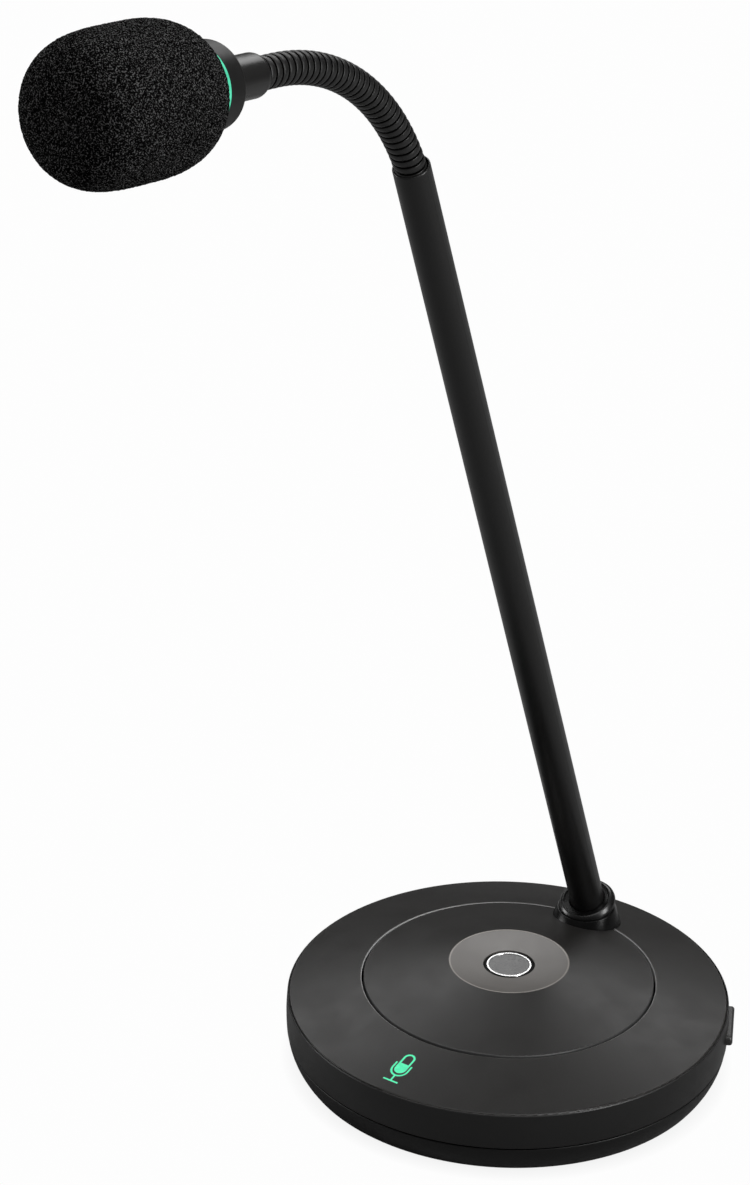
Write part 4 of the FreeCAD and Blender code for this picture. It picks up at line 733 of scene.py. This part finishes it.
def cube_sphere(grid):
    """Unit sphere as six square grids: directions and quads, with shared borders joined."""
    mesh = bmesh.new()
    bmesh.ops.create_cube(mesh, size=2)
    bmesh.ops.subdivide_edges(mesh, edges=mesh.edges[:], cuts=grid - 1, use_grid_fill=True)
    directions = np.array([v.co for v in mesh.verts])
    faces = [tuple(v.index for v in f.verts) for f in mesh.faces]
    mesh.free()
    directions = np.tan(directions * math.pi / 4)
    return directions / np.linalg.norm(directions, axis=1)[:, None], faces


def foam_piece():
    """The windscreen: its outline spun round the head's axis, as an even mesh of small quads."""
    along, radii, weight = foam_profile(*foam_measures())
    steps = np.hypot(np.diff(along), np.diff(radii))
    area = np.concatenate([[0], np.cumsum(steps * (radii[1:] + radii[:-1]) * weight[1:])])
    directions, faces = cube_sphere(FOAM_GRID)
    share = (1 - directions[:, 2]) / 2
    run = np.interp(share, area / area[-1], along)
    reach = np.interp(share, area / area[-1], radii)
    spin = np.arctan2(directions[:, 1], directions[:, 0])
    side = np.array((1.0, 0, 0))
    up = np.cross(np.array(head_axis), side)
    middle = np.array(head_start) + np.outer(run, np.array(head_axis))
    points = middle + reach[:, None] * (np.outer(np.cos(spin), side) + np.outer(np.sin(spin), up))
    piece = mesh_object("foam_cover", points, faces, LOOKS["foam"])
    roughen(piece)
    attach(piece, "windscreen")
    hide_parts("foam_windscreen")


def roughen(piece):
    """Push every vertex in or out by the foam's cells, so that the outline is ragged too."""
    mesh = piece.data
    normals = [v.normal.copy() for v in mesh.vertices]
    for vertex, normal in zip(mesh.vertices, normals):
        place = vertex.co / FOAM_CELL
        pit = noise.noise(place) + FOAM_FINE_SHARE * noise.noise(place * FOAM_FINE_STEP)
        vertex.co += normal * (FOAM_PIT * (pit - FOAM_SINK))
    mesh.update()


foam_piece()

# ---------------------------------------------------------------- floor, world, lights, camera

FLOOR_HALF = 6.0
CONTACT_REACH = 5 * MM
BACKDROP = 0.985
CONTACT_SHADE = 0.86


def floor():
    """Pale floor: bright to the camera, dimmer in reflections so that black faces stay black."""
    points = [(-1, -1, 0), (1, -1, 0), (1, 1, 0), (-1, 1, 0)]
    graph = Graph("floor_white")
    corners = [Vector(point) * FLOOR_HALF for point in points]
    piece = mesh_object("studio_floor", corners, [(0, 1, 2, 3)], graph.material)
    seen = graph.add("ShaderNodeLightPath").outputs["Is Camera Ray"]
    contact = graph.add("ShaderNodeAmbientOcclusion", samples=8)
    contact.inputs["Distance"].default_value = CONTACT_REACH
    shade = graph.scaled(contact.outputs["AO"], 0.0, 1.0, CONTACT_SHADE, BACKDROP)
    white = graph.add("ShaderNodeEmission")
    graph.feed(graph.mixed(shade, grey(0.0), grey(1.0)), white.inputs["Color"])
    soft = graph.add("ShaderNodeBsdfDiffuse")
    graph.feed(graph.mixed(graph.noise(40 * MM), grey(0.3), grey(0.34)), soft.inputs["Color"])
    both = graph.add("ShaderNodeMixShader")
    graph.feed(seen, both.inputs[0])
    graph.feed(soft.outputs[0], both.inputs[1])
    graph.feed(white.outputs[0], both.inputs[2])
    graph.feed(both.outputs[0], graph.tree.nodes["Material Output"].inputs["Surface"])


# the studio seen in reflections: sine of the height where it starts and stops brightening, and how bright
SKY_CLIMB = (-0.1, 0.9)
SKY_GLOW = (0.03, 0.27)


def world():
    """White to the camera; for reflections a studio that is dark low down and brighter overhead."""
    made = bpy.data.worlds.new("studio")
    bpy.context.scene.world = made
    made.use_nodes = True
    tree = made.node_tree
    tree.nodes.clear()
    path = tree.nodes.new("ShaderNodeLightPath")
    place = tree.nodes.new("ShaderNodeTexCoord")
    split = tree.nodes.new("ShaderNodeSeparateXYZ")
    tree.links.new(place.outputs["Generated"], split.inputs[0])
    climb = tree.nodes.new("ShaderNodeMapRange")
    for socket, number in zip(climb.inputs[1:5], SKY_CLIMB + SKY_GLOW):
        socket.default_value = number
    tree.links.new(split.outputs["Z"], climb.inputs["Value"])
    choose = tree.nodes.new("ShaderNodeMix")
    tree.links.new(path.outputs["Is Camera Ray"], choose.inputs["Factor"])
    tree.links.new(climb.outputs["Result"], choose.inputs["A"])
    choose.inputs["B"].default_value = BACKDROP
    glow = tree.nodes.new("ShaderNodeBackground")
    tree.links.new(choose.outputs["Result"], glow.inputs["Strength"])
    out = tree.nodes.new("ShaderNodeOutputWorld")
    tree.links.new(glow.outputs[0], out.inputs["Surface"])


def softbox(name, turn, climb, distance, width, height, power):
    """Area light looking at the object. Turn 0 stands at -Y, 90 at +X; climb is above the horizon."""
    a, e = math.radians(turn), math.radians(climb)
    away = Vector((math.sin(a) * math.cos(e), -math.cos(a) * math.cos(e), math.sin(e)))
    aim = (cad_low + cad_high) / 2
    lamp = bpy.data.lights.new(name, "AREA")
    lamp.shape = "RECTANGLE"
    lamp.size, lamp.size_y = width, height
    lamp.energy = power
    holder = bpy.data.objects.new(name, lamp)
    holder.location = aim + away * distance
    holder.rotation_mode = "QUATERNION"
    holder.rotation_quaternion = (-away).to_track_quat("-Z", "Y")
    bpy.context.scene.collection.objects.link(holder)


def camera(place, turn, climb, roll, lens):
    """Camera at a point, looking down by climb and along +Y turned by turn."""
    a, e, t = math.radians(turn), math.radians(climb), math.radians(roll)
    back = Vector((math.sin(a) * math.cos(e), -math.cos(a) * math.cos(e), math.sin(e)))
    right = Vector((math.cos(a), math.sin(a), 0))
    up = back.cross(right)
    x_axis = right * math.cos(t) + up * math.sin(t)
    y_axis = up * math.cos(t) - right * math.sin(t)
    made = bpy.data.cameras.new("camera")
    made.lens, made.sensor_width = lens, 36.0
    made.clip_start, made.clip_end = 0.01, 50.0
    holder = bpy.data.objects.new("camera", made)
    basis = Matrix((x_axis, y_axis, back)).transposed().to_4x4()
    basis.translation = place
    holder.matrix_world = basis
    bpy.context.scene.collection.objects.link(holder)
    bpy.context.scene.camera = holder


CAMERA_PLACE = Vector((0.6036, -0.9413, 0.7186))

floor()
world()
# name, turn, climb (degrees), distance, width, height (metres), power (watts)
softbox("back_panel", 215, 36, 1.5, 1.8, 0.5, 10)
softbox("right_strip", 95, 30, 1.3, 0.35, 1.2, 17)
softbox("top_panel", 24, 80, 1.4, 0.9, 0.9, 5)
softbox("left_fill", -66, 7, 1.6, 0.5, 1.0, 12)
camera(CAMERA_PLACE, turn=34.76, climb=26.96, roll=1.08, lens=137.4)

view = bpy.context.scene.view_settings
view.view_transform = "Standard"
view.look = "None"
